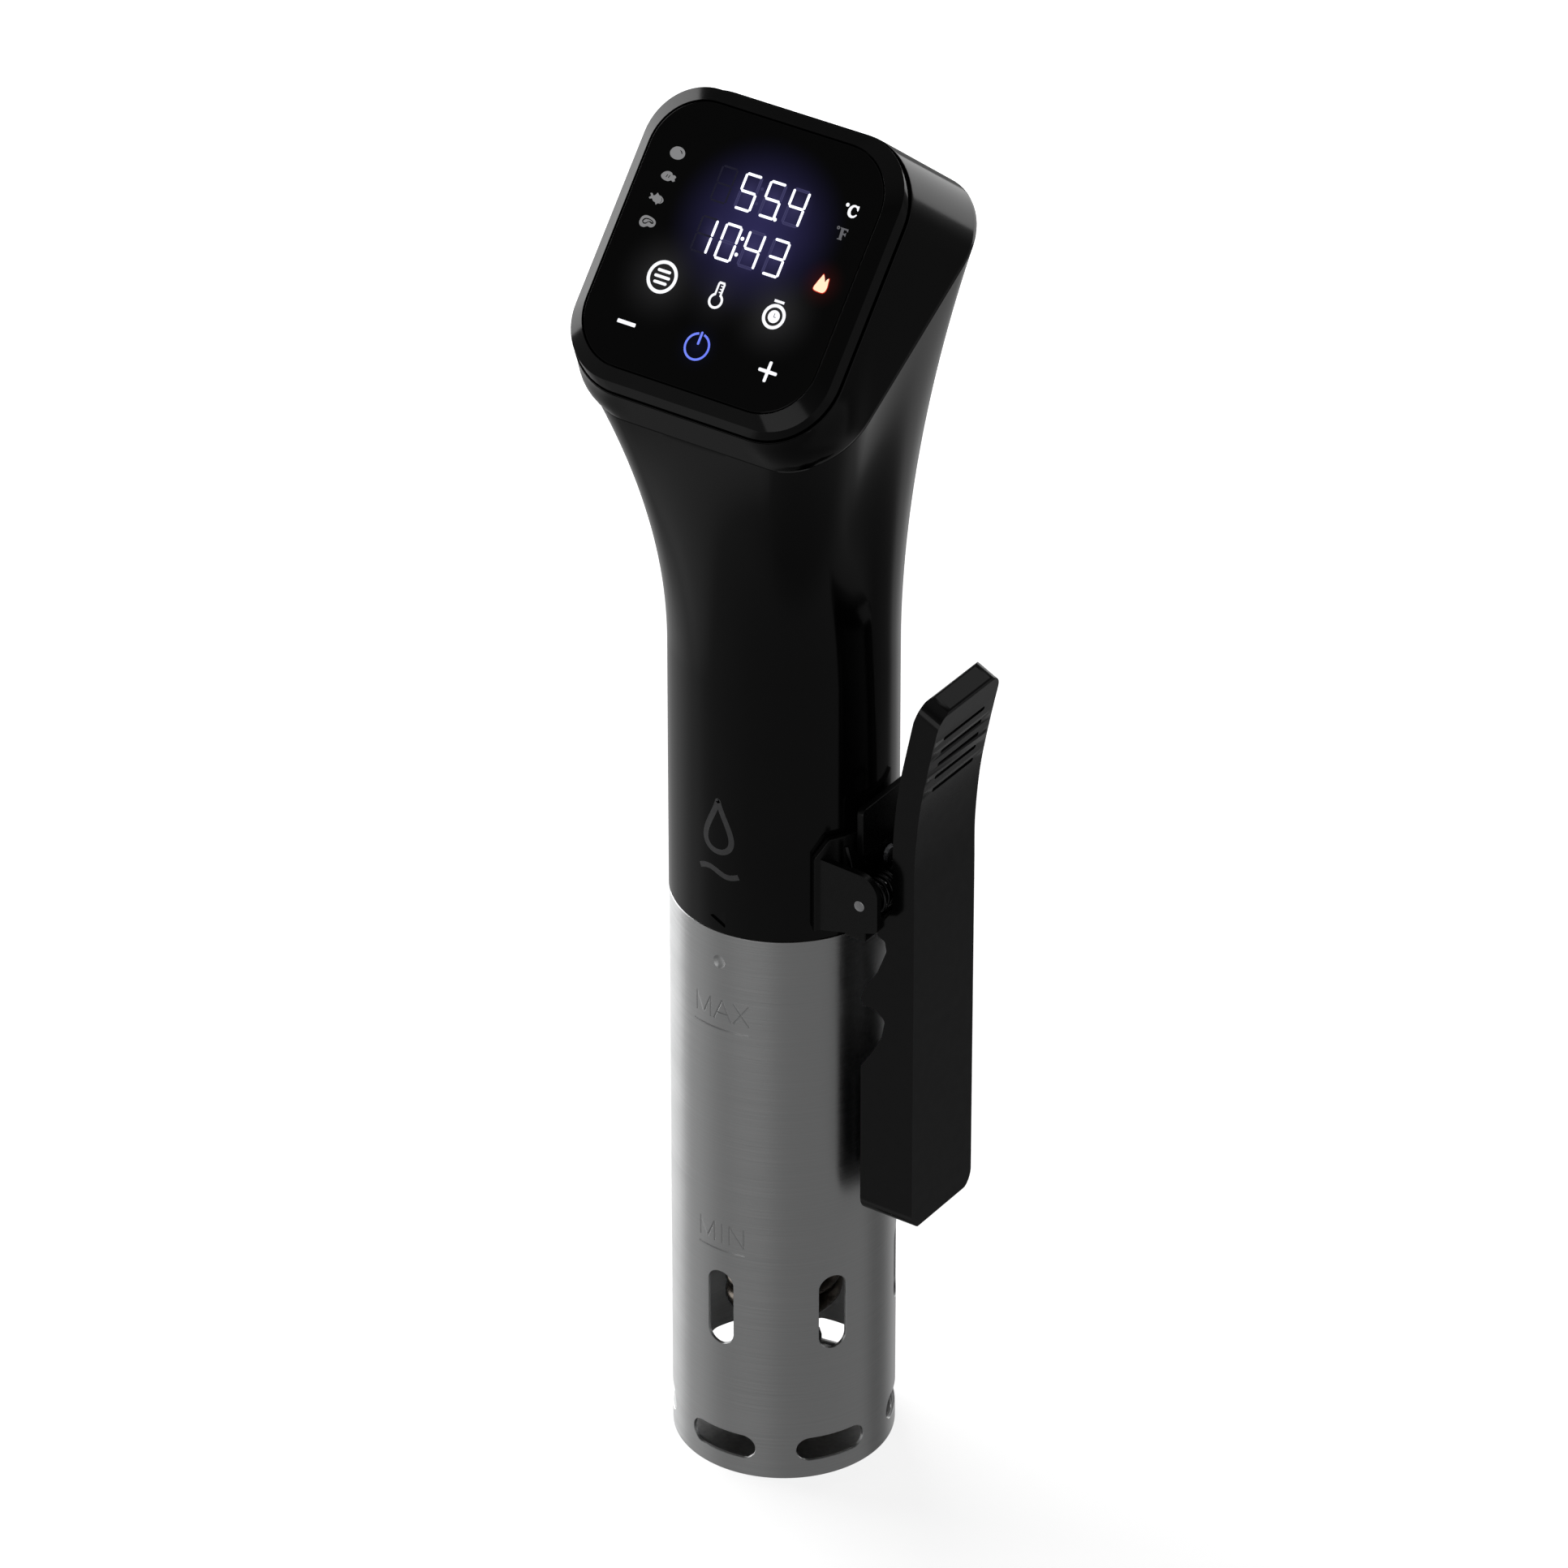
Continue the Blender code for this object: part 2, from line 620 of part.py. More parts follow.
def motor_plate():
    """The plate that carries the motor, on three hollow legs that stand on the bulkhead."""
    leg_r, hole_r, screw_r, head_r = 3.0, 1.65, 1.3, 2.4
    high = MOTOR_BOTTOM - GAP
    plate = washer("motor_plate", 6.0, 23.5, high - 2, high, "zinc", 24)
    seat = high + GAP
    profile = [(screw_r, BULKHEAD_TOP - 4), (screw_r, seat), (head_r, seat), (head_r, seat + 1.8)]
    for number, degrees in enumerate(PLATE_ANGLES):
        centre = around(PLATE_LEG_R, degrees)
        join(plate, rod(f"leg_{number}", leg_r, BULKHEAD_TOP + GAP, high - 0.5, "zinc", 12, centre))
        cut(plate, rod(f"leg_hole_{number}", hole_r, BULKHEAD_TOP - 1, high + 1, "zinc", 10, centre))
        turned(f"motor_screw_{number + 1}", profile, "zinc", 12, centre, closed=False)


def rotor():
    """Everything that the motor turns, on one vertical axis."""
    rod("motor_shaft", MOTOR_SHAFT_R, SHAFT_JOINT + 0.7, 236.0, "spring_steel", 16)
    washer("motor_rotor", MOTOR_SHAFT_R + GAP, 11.0, 193, 213, "copper", 16)
    shaft_coupling()
    rod("drive_shaft", SHAFT_R, IMPELLER_LOW - 1, SHAFT_JOINT - 0.6, "spring_steel", 16)
    bladed("cooling_fan", MOTOR_SHAFT_R + GAP, 5.0, 20.0, 227, 233, 7, "grey_plastic")
    impeller()


def shaft_coupling():
    """A sleeve over the ends of both shafts, with a thin web between them."""
    low, high, outer = 170, 182, 5.2
    web_low, web_high, web_bore = SHAFT_JOINT - GAP, SHAFT_JOINT + GAP, 0.8
    lower_bore, upper_bore = SHAFT_R + GAP, MOTOR_SHAFT_R + GAP
    sleeve = [(outer, high), (outer, low), (lower_bore, low), (lower_bore, web_low), (web_bore, web_low)]
    sleeve += [(web_bore, web_high), (upper_bore, web_high), (upper_bore, high)]
    return turned("shaft_coupling", sleeve, "rubber", 14)


def bladed(name, bore, hub, reach, low, high, count, finish):
    """A hub with flat radial blades."""
    thickness = 1.3
    wheel = washer(name, bore, hub, low, high, finish, 16)
    for number in range(count):
        turn = 2 * math.pi * number / count
        outline = []
        for along, aside in ((hub - 1.2, -1), (reach, -1), (reach, 1), (hub - 1.2, 1)):
            half = aside * thickness / 2
            x = along * math.cos(turn) - half * math.sin(turn)
            y = along * math.sin(turn) + half * math.cos(turn)
            outline.append((x, y))
        join(wheel, prism(f"{name}_blade_{number}", outline, low + 0.4, high - 0.9, finish, along_z))
    return wheel


def impeller():
    """Six blades hung under a disc."""
    high = IMPELLER_LOW + 9.8
    wheel = bladed("impeller", SHAFT_R + GAP, 4.2, IMPELLER_R, IMPELLER_LOW, high, 6, "grey_plastic")
    join(wheel, washer("impeller_disc", 3.2, IMPELLER_R, high - 1.6, high - 0.4, "grey_plastic", 20))
    return wheel


# Bulkhead, heater and probes ------------------------------------------------------------------------
def sector(inner, outer, start, end, steps=5):
    """A flat sector of a ring, between two angles."""
    turns = [start + (end - start) * i / steps for i in range(steps + 1)]
    return [around(outer, turn) for turn in turns] + [around(inner, turn) for turn in reversed(turns)]


def bulkhead():
    """The wall between the dry handle and the wet skirt, with the twist lock's pockets."""
    groove_low, groove_top = SEAL_GROOVE
    groove_r, spigot_in, bore = 23.3, 21.0, 2.6
    seal_r, seal_wall, seal_top = 5.3, 1.7, 168.0
    rim_in = 21.8
    step = BODY_BOTTOM + GAP
    profile = [(BULKHEAD_R, BULKHEAD_TOP), (BULKHEAD_R, groove_top), (groove_r, groove_top)]
    profile += [(groove_r, groove_low), (BULKHEAD_R, groove_low), (BULKHEAD_R, step), (SPIGOT_R, step)]
    profile += [(SPIGOT_R, SPIGOT_LOW), (spigot_in, SPIGOT_LOW), (spigot_in, FLOOR[0]), (bore, FLOOR[0])]
    profile += [(bore, FLOOR[1]), (seal_r, FLOOR[1]), (seal_r, seal_top), (seal_r + seal_wall, seal_top)]
    profile += [(seal_r + seal_wall, FLOOR[1]), (rim_in, FLOOR[1]), (rim_in, BULKHEAD_TOP)]
    wall = turned("bulkhead", profile, "grey_plastic", 32)
    bulkhead_bosses(wall)
    for number, degrees in enumerate(LEG_TURNS):
        floor_hole(wall, f"heater_hole_{number}", COIL_TUBE_R + GAP, around(COIL_R, degrees), 12)
    for name, (degrees, _) in PROBES.items():
        floor_hole(wall, f"{name}_hole", PROBE_R + GAP, around(PROBE_REACH, degrees), 10)
    for number, degrees in enumerate(TAB_ANGLES):
        lock_pocket(wall, number, degrees)
    return wall


def bulkhead_bosses(wall):
    """Bosses for the motor plate's screws."""
    for number, degrees in enumerate(PLATE_ANGLES):
        centre = around(PLATE_LEG_R, degrees)
        join(wall, rod(f"bulkhead_boss_{number}", 3.2, FLOOR[1] - 1, BOSS_TOP, "grey_plastic", 12, centre))
        cut(wall, rod(f"bulkhead_pilot_{number}", 1.6, FLOOR[1] + 0.6, 170, "grey_plastic", 10, centre))


def floor_hole(wall, name, radius, centre, sides):
    cut(wall, rod(name, radius, FLOOR[0] - 6, FLOOR[1] + 5, "grey_plastic", sides, centre))


def lock_pocket(wall, number, degrees):
    """The pocket that a tab turns in, and the way in to it from below."""
    slack = 2.0
    low_edge = degrees - TAB_HALF - slack - TWIST
    pocket = sector(LOCK_TAB_IN - 0.5, LOCK_TAB_OUT, low_edge, degrees + TAB_HALF + slack, 4)
    entry_end = degrees - TWIST + TAB_HALF + slack
    entry = sector(LOCK_TAB_IN - 0.4, LOCK_TAB_OUT + 0.1, low_edge + 0.3, entry_end, 3)
    low, high = LOCK_TAB_LOW - 0.4, LOCK_TAB_TOP + 0.4
    cut(wall, prism(f"lock_pocket_{number}", pocket, low, high, "grey_plastic", along_z))
    cut(wall, prism(f"lock_entry_{number}", entry, SPIGOT_LOW - 2, low + 1.9, "grey_plastic", along_z))


def seals():
    """The O-ring in the bulkhead's groove, and the sleeve round the drive shaft."""
    tube, middle, sides = 0.95, 24.6, 6
    height = sum(SEAL_GROOVE) / 2
    rings = []
    for i in range(sides):
        angle = -2 * math.pi * i / sides
        rings.append(circle(middle + tube * math.cos(angle), height + tube * math.sin(angle), 32))
    lofted("bulkhead_seal", rings, "rubber", closed=True)
    washer("shaft_seal", SHAFT_R + RUN, 5.0, FLOOR[1] + GAP, 166.5, "rubber", 16)


def eased(share):
    return share * share * (3 - 2 * share)


def bend_angles(steps):
    """The angles of a quarter bend, after its start."""
    return [math.radians(90 * i / steps) for i in range(1, steps + 1)]


def return_leg(bend_steps, swing_steps):
    """Down from the bulkhead, in to the coil's middle, and out again to its lowest turn."""
    leg = LEG_TURNS[0]
    straight_end, inward_drop = 104.0, 22.0
    inner_turn, bend_turn, bend_out = leg - 150.0, 42.0, 0.6
    path = [(*around(COIL_R, leg), LEG_TOP), (*around(COIL_R, leg), straight_end)]
    for i in range(1, swing_steps):
        share = i / swing_steps
        radius = COIL_R + (RETURN_R - COIL_R) * eased(share)
        swing = leg + (inner_turn - leg) * eased(share)
        path.append((*around(radius, swing), straight_end - inward_drop * share))
    path.append((*around(RETURN_R, inner_turn), straight_end - inward_drop - 2.0))
    path.append((*around(RETURN_R, inner_turn), COIL_BOTTOM + LEG_BEND))
    for turn in bend_angles(bend_steps):
        out = 1 - math.cos(turn)
        height = COIL_BOTTOM + LEG_BEND * (1 - math.sin(turn))
        path.append((*around(RETURN_R + bend_out * out, inner_turn + bend_turn * out), height))
    for i in range(1, swing_steps):
        share = i / swing_steps
        radius = RETURN_R + bend_out + (COIL_R - RETURN_R - bend_out) * eased(share)
        swing = inner_turn + bend_turn + (leg - inner_turn - bend_turn) * share
        path.append((*around(radius, swing), COIL_BOTTOM))
    return path


def heater_path():
    """From one end through the coil to the other."""
    turn_steps, bend_steps, swing_steps = 16, 4, 8
    start, end_turn = LEG_TURNS
    whole = COIL_TURNS * 360 + (end_turn - start)
    climb = COIL_PITCH * whole / 360
    path = return_leg(bend_steps, swing_steps)
    count = round(whole / 360 * turn_steps)
    for i in range(count + 1):
        share = i / count
        path.append((*around(COIL_R, start + whole * share), COIL_BOTTOM + climb * share))
    top = COIL_BOTTOM + climb
    swing_out = math.degrees(LEG_BEND / COIL_R)
    for turn in bend_angles(bend_steps):
        swing = end_turn + swing_out * math.sin(turn)
        path.append((*around(COIL_R, swing), top + LEG_BEND * (1 - math.cos(turn))))
    path.append((*around(COIL_R, end_turn + swing_out), top + 20))
    path.append((*around(COIL_R, end_turn), top + 40))
    path.append((*around(COIL_R, end_turn), LEG_TOP))
    return path


def wet_parts():
    """The heater with its nuts, and the probes."""
    swept("heater_coil", heater_path(), COIL_TUBE_R, 6, "dark_steel")
    low, high = FLOOR[1] + GAP, FLOOR[1] + 3.5
    for number, degrees in enumerate(LEG_TURNS):
        centre = around(COIL_R, degrees)
        nut = rod(f"heater_nut_{number + 1}", 4.4, low, high, "zinc", 6, centre)
        bore = COIL_TUBE_R + GAP
        cut(nut, rod(f"heater_nut_bore_{number}", bore, low - 2, high + 2, "zinc", 12, centre))
    flange_r, flange_tall = 3.0, 2.5
    for name, (degrees, tip) in PROBES.items():
        profile = [(PROBE_R, tip), (PROBE_R, low), (flange_r, low), (flange_r, low + flange_tall)]
        turned(name, profile, "spring_steel", 12, around(PROBE_REACH, degrees), closed=False)


# Skirt ----------------------------------------------------------------------------------------------
def stadium(width, low, high, degrees, name, finish):
    """A round-ended slot cutter that points out of the axis at an angle."""
    turn = math.radians(degrees)
    half_wide, half_tall = width / 2, (high - low) / 2
    corner = min(half_wide, half_tall) - 0.01
    outline = rounded(half_wide, half_tall, corner, 3, (0, (low + high) / 2))

    c, s = math.cos(turn), math.sin(turn)

    def place(aside, z, out):
        return (out * c - aside * s, out * s + aside * c, z)

    return prism(name, outline, SKIRT_R - 6, SKIRT_R + 4, finish, place)


def skirt():
    """The slotted tube, the dish in its foot and the lock's ring in its top."""
    inner = SKIRT_R - SKIRT_WALL
    tube = washer("skirt_tube", inner, SKIRT_R, 0, SKIRT_TOP, "brushed_steel", 42)
    for number in range(SLOT_COUNT):
        degrees = 270 + number * 360 / SLOT_COUNT
        cut(tube, stadium(*SLOT_TALL, degrees, f"tall_slot_{number}", "brushed_steel"))
        cut(tube, stadium(*SLOT_FLAT, degrees, f"flat_slot_{number}", "brushed_steel"))
    fitted = inner - 0.35
    lofted("skirt_end_cap", cap_rings(fitted), "brushed_steel")
    collar = washer("skirt_collar", COLLAR_IN, fitted, COLLAR_LOW, COLLAR_TOP, "black_satin", 42)
    for number, degrees in enumerate(TAB_ANGLES):
        tab = sector(LOCK_TAB_IN, LOCK_TAB_OUT, degrees - TAB_HALF, degrees + TAB_HALF, 3)
        join(collar, prism(f"lock_tab_{number}", tab, LOCK_TAB_LOW, LOCK_TAB_TOP, "black_satin", along_z))


def cap_rings(radius):
    """The dish that closes the tube's foot, from its rim down, across and up inside."""
    rows = ((radius - CAP_WALL, CAP_FLOOR), (radius - CAP_WALL, CAP_RIM), (radius, CAP_RIM), (radius, 0))
    return [circle(r, z, 42) for r, z in rows]


# Clamp ----------------------------------------------------------------------------------------------
def pin_circle(radius, sides=20):
    """An outline in X and Z round the pin."""
    return [(a, b) for a, b, _ in circle(radius, 0, sides, (PIN_X, PIN_Z))]


def clamp_bracket():
    """A saddle that hugs the handle, a raised tab, and two ears for the pin."""
    sections = 12
    rings = []
    for i in range(sections + 1):
        degrees = -SADDLE_HALF + 2 * SADDLE_HALF * i / sections
        drop = max(0.0, abs(degrees) - SADDLE_SHOULDER) / (SADDLE_HALF - SADDLE_SHOULDER)
        top = SADDLE_TOP - drop * (SADDLE_TOP - EAR_TOP)
        corners = ((SADDLE_IN, EAR_LOW), (SADDLE_OUT, EAR_LOW), (SADDLE_OUT, top), (SADDLE_IN, top))
        rings.append([(*around(radius, degrees), z) for radius, z in corners])
    bracket = lofted("clamp_bracket", rings, "black_satin")
    tab = rounded(TAB_WIDE, TAB_TALL, 1.5, 3, (0, TAB_TOP - TAB_TALL))
    join(bracket, prism("bracket_tab", tab, 28.9, 30.9, "black_satin", along_x))
    ear = [(22.9, EAR_LOW + 0.1, 0), (30.6, 165.0, 0), (40.0, 168.0, 1.6), (40.0, 182.6, 5.5)]
    ear = filleted(ear + [(22.9, EAR_TOP - 0.1, 0)])
    for side in (-1, 1):
        low, high = sorted((side * EAR_IN, side * EAR_OUT))
        join(bracket, prism(f"ear_{side}", ear, low, high, "black_satin", along_y))
    cut(bracket, prism("ear_bore", pin_circle(PIN_R + RUN), -25, 25, "black_satin", along_y))
    for number, z in enumerate(BRACKET_SCREW_Z):
        hole = [(a, b) for a, b, _ in circle(BRACKET_SCREW_R + GAP, 0, 8, (0, z))]
        cut(bracket, prism(f"bracket_hole_{number}", hole, 25, 35, "black_satin", along_x))
    bracket_screws()
    return bracket


def bracket_screws():
    """Two screws through the saddle into the handle's wall."""
    tip, seat, head_r, crown_r, crown = 24.0, 30.5, 2.4, 2.0, 31.7
    profile = ((BRACKET_SCREW_R, tip), (BRACKET_SCREW_R, seat), (head_r, seat), (crown_r, crown))
    for number, z in enumerate(BRACKET_SCREW_Z):
        rings = [[(x, a, b) for a, b, _ in circle(radius, 0, 12, (0, z))] for radius, x in profile]
        lofted(f"bracket_screw_{number + 1}", rings, "zinc")


def clamp_pin():
    """The pivot, with its head at the back ear."""
    seat, head_r = EAR_OUT + GAP, 2.6
    profile = ((PIN_R, -EAR_OUT - 0.1), (PIN_R, seat), (head_r, seat), (head_r, seat + 1))
    rings = [[(a, y, b) for a, b in pin_circle(radius)] for radius, y in profile]
    return lofted("clamp_pin", rings, "spring_steel")


def lever_outline():
    """The lever's side view in X and Z, anticlockwise from the foot of the outer face."""
    outer = [(LEVER_FACE, LEVER_LOW, 0.8), (LEVER_FACE, 186.0, 0), (47.5, 196.0, 0), (48.4, 203.4, 0)]
    outer += [(50.0, 212.0, 0), (51.9, 221.0, 0), (54.0, 230.4, 1.0)]
    top = [(48.6, 233.0, 1.0)]
    inner = [(46.2, 226.8, 0), (43.6, 214.5, 0), (42.2, 207.0, 0), (41.2, 199.0, 0), (40.6, 191.0, 0)]
    inner += [(40.5, 171.3, 0), (36.2, 165.5, 0), (36.2, 163.0, 0.6)]
    first_bite = [(38.4, 162.3, 0.8), (38.9, 159.4, 1.5), (36.3, 152.6, 0), (32.7, 146.9, 0)]
    second_bite = [(31.5, 143.6, 0.6), (32.2, 141.9, 0), (35.6, 141.6, 0), (38.6, 139.4, 1.5)]
    second_bite += [(37.6, 134.2, 0), (34.7, 128.8, 0)]
    foot = [(31.6, 124.0, 0), (31.6, LEVER_LOW, 2.2)]
    return outer + top + inner + first_bite + second_bite + foot


def clamp_lever():
    """A hollow lever: outer wall, two side walls with bites, a barrel for the pin, and a jaw inside."""
    outline = filleted(lever_outline())
    origin = (PIN_X, 0, PIN_Z)
    lever = prism("clamp_lever", outline, -LEVER_HALF, LEVER_HALF, "black_satin", along_y, origin)
    middle, half = (LEVER_LOW + LEVER_HIGH) / 2, (LEVER_HIGH - LEVER_LOW) / 2
    frame = rounded(LEVER_HALF, half, 5.0, 4, (0, middle))
    boolean(lever, prism("lever_frame", frame, 25, 60, "black_satin", along_x), "INTERSECT")
    wide = LEVER_HALF - LEVER_WALL
    face, foot = LEVER_FACE - LEVER_WALL, LEVER_LOW + LEVER_WALL
    hollow = [(face, foot), (face, 186), (46.2, 203.8), (49.6, 221), (50.6, 227)]
    hollow += [(40, 229.5), (25, 200), (25, foot)]
    cut(lever, prism("lever_hollow", hollow, -wide, wide, "black_satin", along_y))
    join(lever, prism("lever_barrel", barrel_outline(), -BARREL_HALF, BARREL_HALF, "black_satin", along_y))
    cut(lever, prism("lever_bore", pin_circle(PIN_R + RUN), -8, 8, "black_satin", along_y))
    join(lever, block("lever_jaw", (PAD_X[1] + GAP, -7.0, 88.0), (45.5, 7.0, 115.0), "black_satin"))
    return lever


def barrel_outline():
    """The boss round the pin, carried out to the lever's outer wall."""
    nose, back, corner = 31.2, 45.5, 3.4
    low, high = PIN_Z - BARREL_REACH, PIN_Z + BARREL_REACH
    return filleted([(nose, low, corner), (back, low, 0), (back, high, 0), (nose, high, corner)])


def clamp_pad():
    """The rubber pad, ribbed across on the side that grips the pot."""
    face, back = PAD_X
    low, high = PAD_Z
    valley = face + 1.2
    pitch = (high - low) / PAD_RIBS
    outline = [(back, low), (back, high)]
    for i in range(PAD_RIBS):
        top = high - i * pitch
        outline += [(face, top - 0.6), (face, top - pitch + 1.6), (valley, top - pitch + 1.2)]
        outline += [(valley, top - pitch + 0.4)]
    outline[-1] = (valley, low)
    return prism("clamp_pad", outline, -7.5, 7.5, "rubber", along_y, (PIN_X, 0, PIN_Z))


def clamp_spring():
    """A double torsion spring: two coils on the pin, joined by a bridge that pushes the lever."""
    turns, steps = 4, 12
    near, far = 6.4, 14.6
    half = [(28.2, far, PIN_Z + 12.4), (PIN_X - SPRING_R, far, PIN_Z + 1.0)]
    count = turns * steps + steps // 2
    for i in range(count + 1):
        angle = math.pi + 2 * math.pi * i / steps
        y = far + (near - far) * i / count
        half.append((PIN_X + SPRING_R * math.cos(angle), y, PIN_Z + SPRING_R * math.sin(angle)))
    half += [(PIN_X + SPRING_R + 0.5, near, PIN_Z + 3.0), (43.4, near, PIN_Z + 16.5)]
    half.append((44.0, near - 1.2, PIN_Z + 18))
    mirrored = [(x, -y, z) for x, y, z in reversed(half)]
    return swept("clamp_spring", half + mirrored, WIRE_R, 5, "spring_steel", (PIN_X, 0, PIN_Z))


def build():
    for old in list(bpy.data.objects):
        bpy.data.objects.remove(old)
    handle_shell()
    display_bezel()
    display_glass()
    glass_gasket()
    display_board()
    board_screws()
    led_display()
    buzzer()
    power_electronics()
    cord_gland()
    motor()
    motor_plate()
    rotor()
    bulkhead()
    seals()
    wet_parts()
    skirt()
    clamp_bracket()
    clamp_pin()
    clamp_lever()
    clamp_pad()
    clamp_spring()


build()
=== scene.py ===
"""The looks of a clip-on sous vide circulator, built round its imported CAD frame.

Frame: +Z up, the origin at the centre of the flat base, the display towards -Y, the pot clamp at +X.
Sizes are millimetres and degrees. The mesh helpers turn them into metres.
"""

import math

import bmesh
import bpy
from mathutils import Matrix, Vector


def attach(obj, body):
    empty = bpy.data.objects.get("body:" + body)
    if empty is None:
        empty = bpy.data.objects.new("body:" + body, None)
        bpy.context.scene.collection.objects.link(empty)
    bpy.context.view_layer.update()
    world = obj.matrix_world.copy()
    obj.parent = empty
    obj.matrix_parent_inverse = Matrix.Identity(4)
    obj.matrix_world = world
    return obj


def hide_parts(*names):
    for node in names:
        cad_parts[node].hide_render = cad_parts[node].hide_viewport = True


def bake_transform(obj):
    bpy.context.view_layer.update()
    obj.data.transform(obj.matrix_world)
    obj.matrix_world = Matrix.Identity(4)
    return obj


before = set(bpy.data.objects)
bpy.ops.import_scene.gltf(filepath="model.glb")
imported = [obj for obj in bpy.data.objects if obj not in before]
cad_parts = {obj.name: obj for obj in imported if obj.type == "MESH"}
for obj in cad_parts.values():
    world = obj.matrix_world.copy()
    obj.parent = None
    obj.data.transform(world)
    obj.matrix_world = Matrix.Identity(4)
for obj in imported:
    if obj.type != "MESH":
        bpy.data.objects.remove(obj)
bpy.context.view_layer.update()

MM = 0.001

# Sizes shared with the CAD ---------------------------------
SKIRT_R, SKIRT_WALL, SKIRT_TOP = 28.0, 0.8, 158.9
BODY_R, BODY_BOTTOM, BODY_WALL = 28.14, 159.2, 2.3
FLARE_START, FLARE_POWER = 228.6, 1.88
TILT = math.radians(40.8)
DISPLAY_Y, DISPLAY_Z = -21.37, 342.1
GLASS_HALF, GLASS_CORNER = (32.3, 33.2), 13.4
CHAMFER_HALF, CHAMFER_CORNER, CHAMFER_DEPTH = (36.0, 36.8), 14.9, 2.2
HEAD_HALF, HEAD_LOWER, HEAD_CORNER, HEAD_DEPTH = (37.5, 38.4), 0.8, 18.5, 5.3
NECK_HALF, NECK_CORNER = (37.8, 37.1), 17.2
NECK_SLOPE, NECK_HEIGHT, BAND_SWELL = 0.598, 321.2, 1.25
PIN_X, PIN_Z, PIN_R = 34.8, 174.0, 1.5
EAR_IN, EAR_OUT = 17.2, 19.0
SADDLE_IN, SADDLE_OUT = 28.5, 30.2
LEVER_HALF, LEVER_WALL, LEVER_FACE = 13.2, 2.0, 46.8
LEVER_LOW = 80.4


# Mesh helpers ---------------------------------
def made_object(name, points, faces):
    mesh = bpy.data.meshes.new(name)
    bm = bmesh.new()
    verts = [bm.verts.new(Vector(point) * MM) for point in points]
    for face in faces:
        bm.faces.new([verts[i] for i in face])
    bmesh.ops.recalc_face_normals(bm, faces=bm.faces)
    bm.to_mesh(mesh)
    bm.free()
    made = bpy.data.objects.new(name, mesh)
    bpy.context.scene.collection.objects.link(made)
    return made


def lofted(name, rings, closed=False):
    """A skin through rings of equally many points: closed end to start, or capped at both ends."""
    size = len(rings[0])
    faces = []
    for row in range(len(rings) if closed else len(rings) - 1):
        a = row * size
        b = (row + 1) % len(rings) * size
        for i in range(size):
            j = (i + 1) % size
            faces.append((a + i, a + j, b + j, b + i))
    if not closed:
        faces.append(list(range(size)))
        faces.append([(len(rings) - 1) * size + i for i in range(size)])
    return made_object(name, [point for ring in rings for point in ring], faces)


def circle(radius, z, sides, centre=(0, 0)):
    turns = [2 * math.pi * i / sides for i in range(sides)]
    return [(centre[0] + radius * math.cos(t), centre[1] + radius * math.sin(t), z) for t in turns]


def around(radius, degrees):
    angle = math.radians(degrees)
    return (radius * math.cos(angle), radius * math.sin(angle))


def softened(corners, radius=0.3, steps=3, closed=True):
    """A polyline through points of any dimension, with each corner eased over a short distance."""
    points = []
    count = len(corners)
    for i, corner in enumerate(corners):
        here = list(corner)
        if not closed and i in (0, count - 1):
            points.append(here)
            continue
        before, after = corners[i - 1], corners[(i + 1) % count]
        ends = []
        for other in (before, after):
            run = [q - p for p, q in zip(here, other)]
            length = math.sqrt(sum(r * r for r in run))
            reach = min(radius, 0.4 * length) / length
            ends.append([p + r * reach for p, r in zip(here, run)])
        for step in range(steps + 1):
            t = step / steps
            first, middle, last = (1 - t) ** 2, 2 * t * (1 - t), t * t
            points.append([first * a + middle * b + last * c for a, b, c in zip(ends[0], here, ends[1])])
    return points


def turned(name, profile, sides=96, closed=True, ease=0.25):
    """A profile of (radius, height) turned about the part's own axis, its corners eased."""
    return lofted(name, [circle(r, z, sides) for r, z in softened(profile, ease, closed=closed)], closed)


def rounded(half_a, half_b, corner, arc_steps=12, flat=1, centre=(0, 0)):
    """A rounded rectangle, anticlockwise: arc steps in each corner, flat steps along each side."""

    def corner_point(quarter, degrees):
        side_a, side_b = ((1, 1), (-1, 1), (-1, -1), (1, -1))[quarter % 4]
        angle = math.radians(degrees)
        a = centre[0] + side_a * (half_a - corner) + corner * math.cos(angle)
        return (a, centre[1] + side_b * (half_b - corner) + corner * math.sin(angle))

    points = []
    for quarter in range(4):
        points += [corner_point(quarter, 90 * quarter + 90 * i / arc_steps) for i in range(arc_steps + 1)]
        first, last = points[-1], corner_point(quarter + 1, 90 * quarter + 90)
        for i in range(1, flat):
            points.append(tuple(p + (q - p) * i / flat for p, q in zip(first, last)))
    return points


def filleted(corners, steps=8):
    """An outline through (a, b, radius) corners, each rounded with its radius."""
    points = []
    for i, (a, b, radius) in enumerate(corners):
        if radius == 0:
            points.append((a, b))
            continue
        here = Vector((a, b))
        back = (Vector(corners[i - 1][:2]) - here).normalized()
        forth = (Vector(corners[(i + 1) % len(corners)][:2]) - here).normalized()
        half = back.angle(forth) / 2
        centre = here + (back + forth).normalized() * (radius / math.sin(half))
        setback = radius / math.tan(half)
        first = here + back * setback - centre
        last = here + forth * setback - centre
        start, end = math.atan2(first.y, first.x), math.atan2(last.y, last.x)
        sweep = (end - start + math.pi) % (2 * math.pi) - math.pi
        for step in range(steps + 1):
            angle = start + sweep * step / steps
            points.append((centre.x + radius * math.cos(angle), centre.y + radius * math.sin(angle)))
    return points


def along_z(a, b, c):
    return (a, b, c)


def along_y(a, b, c):
    return (a, c, b)


def along_x(a, b, c):
    return (c, a, b)


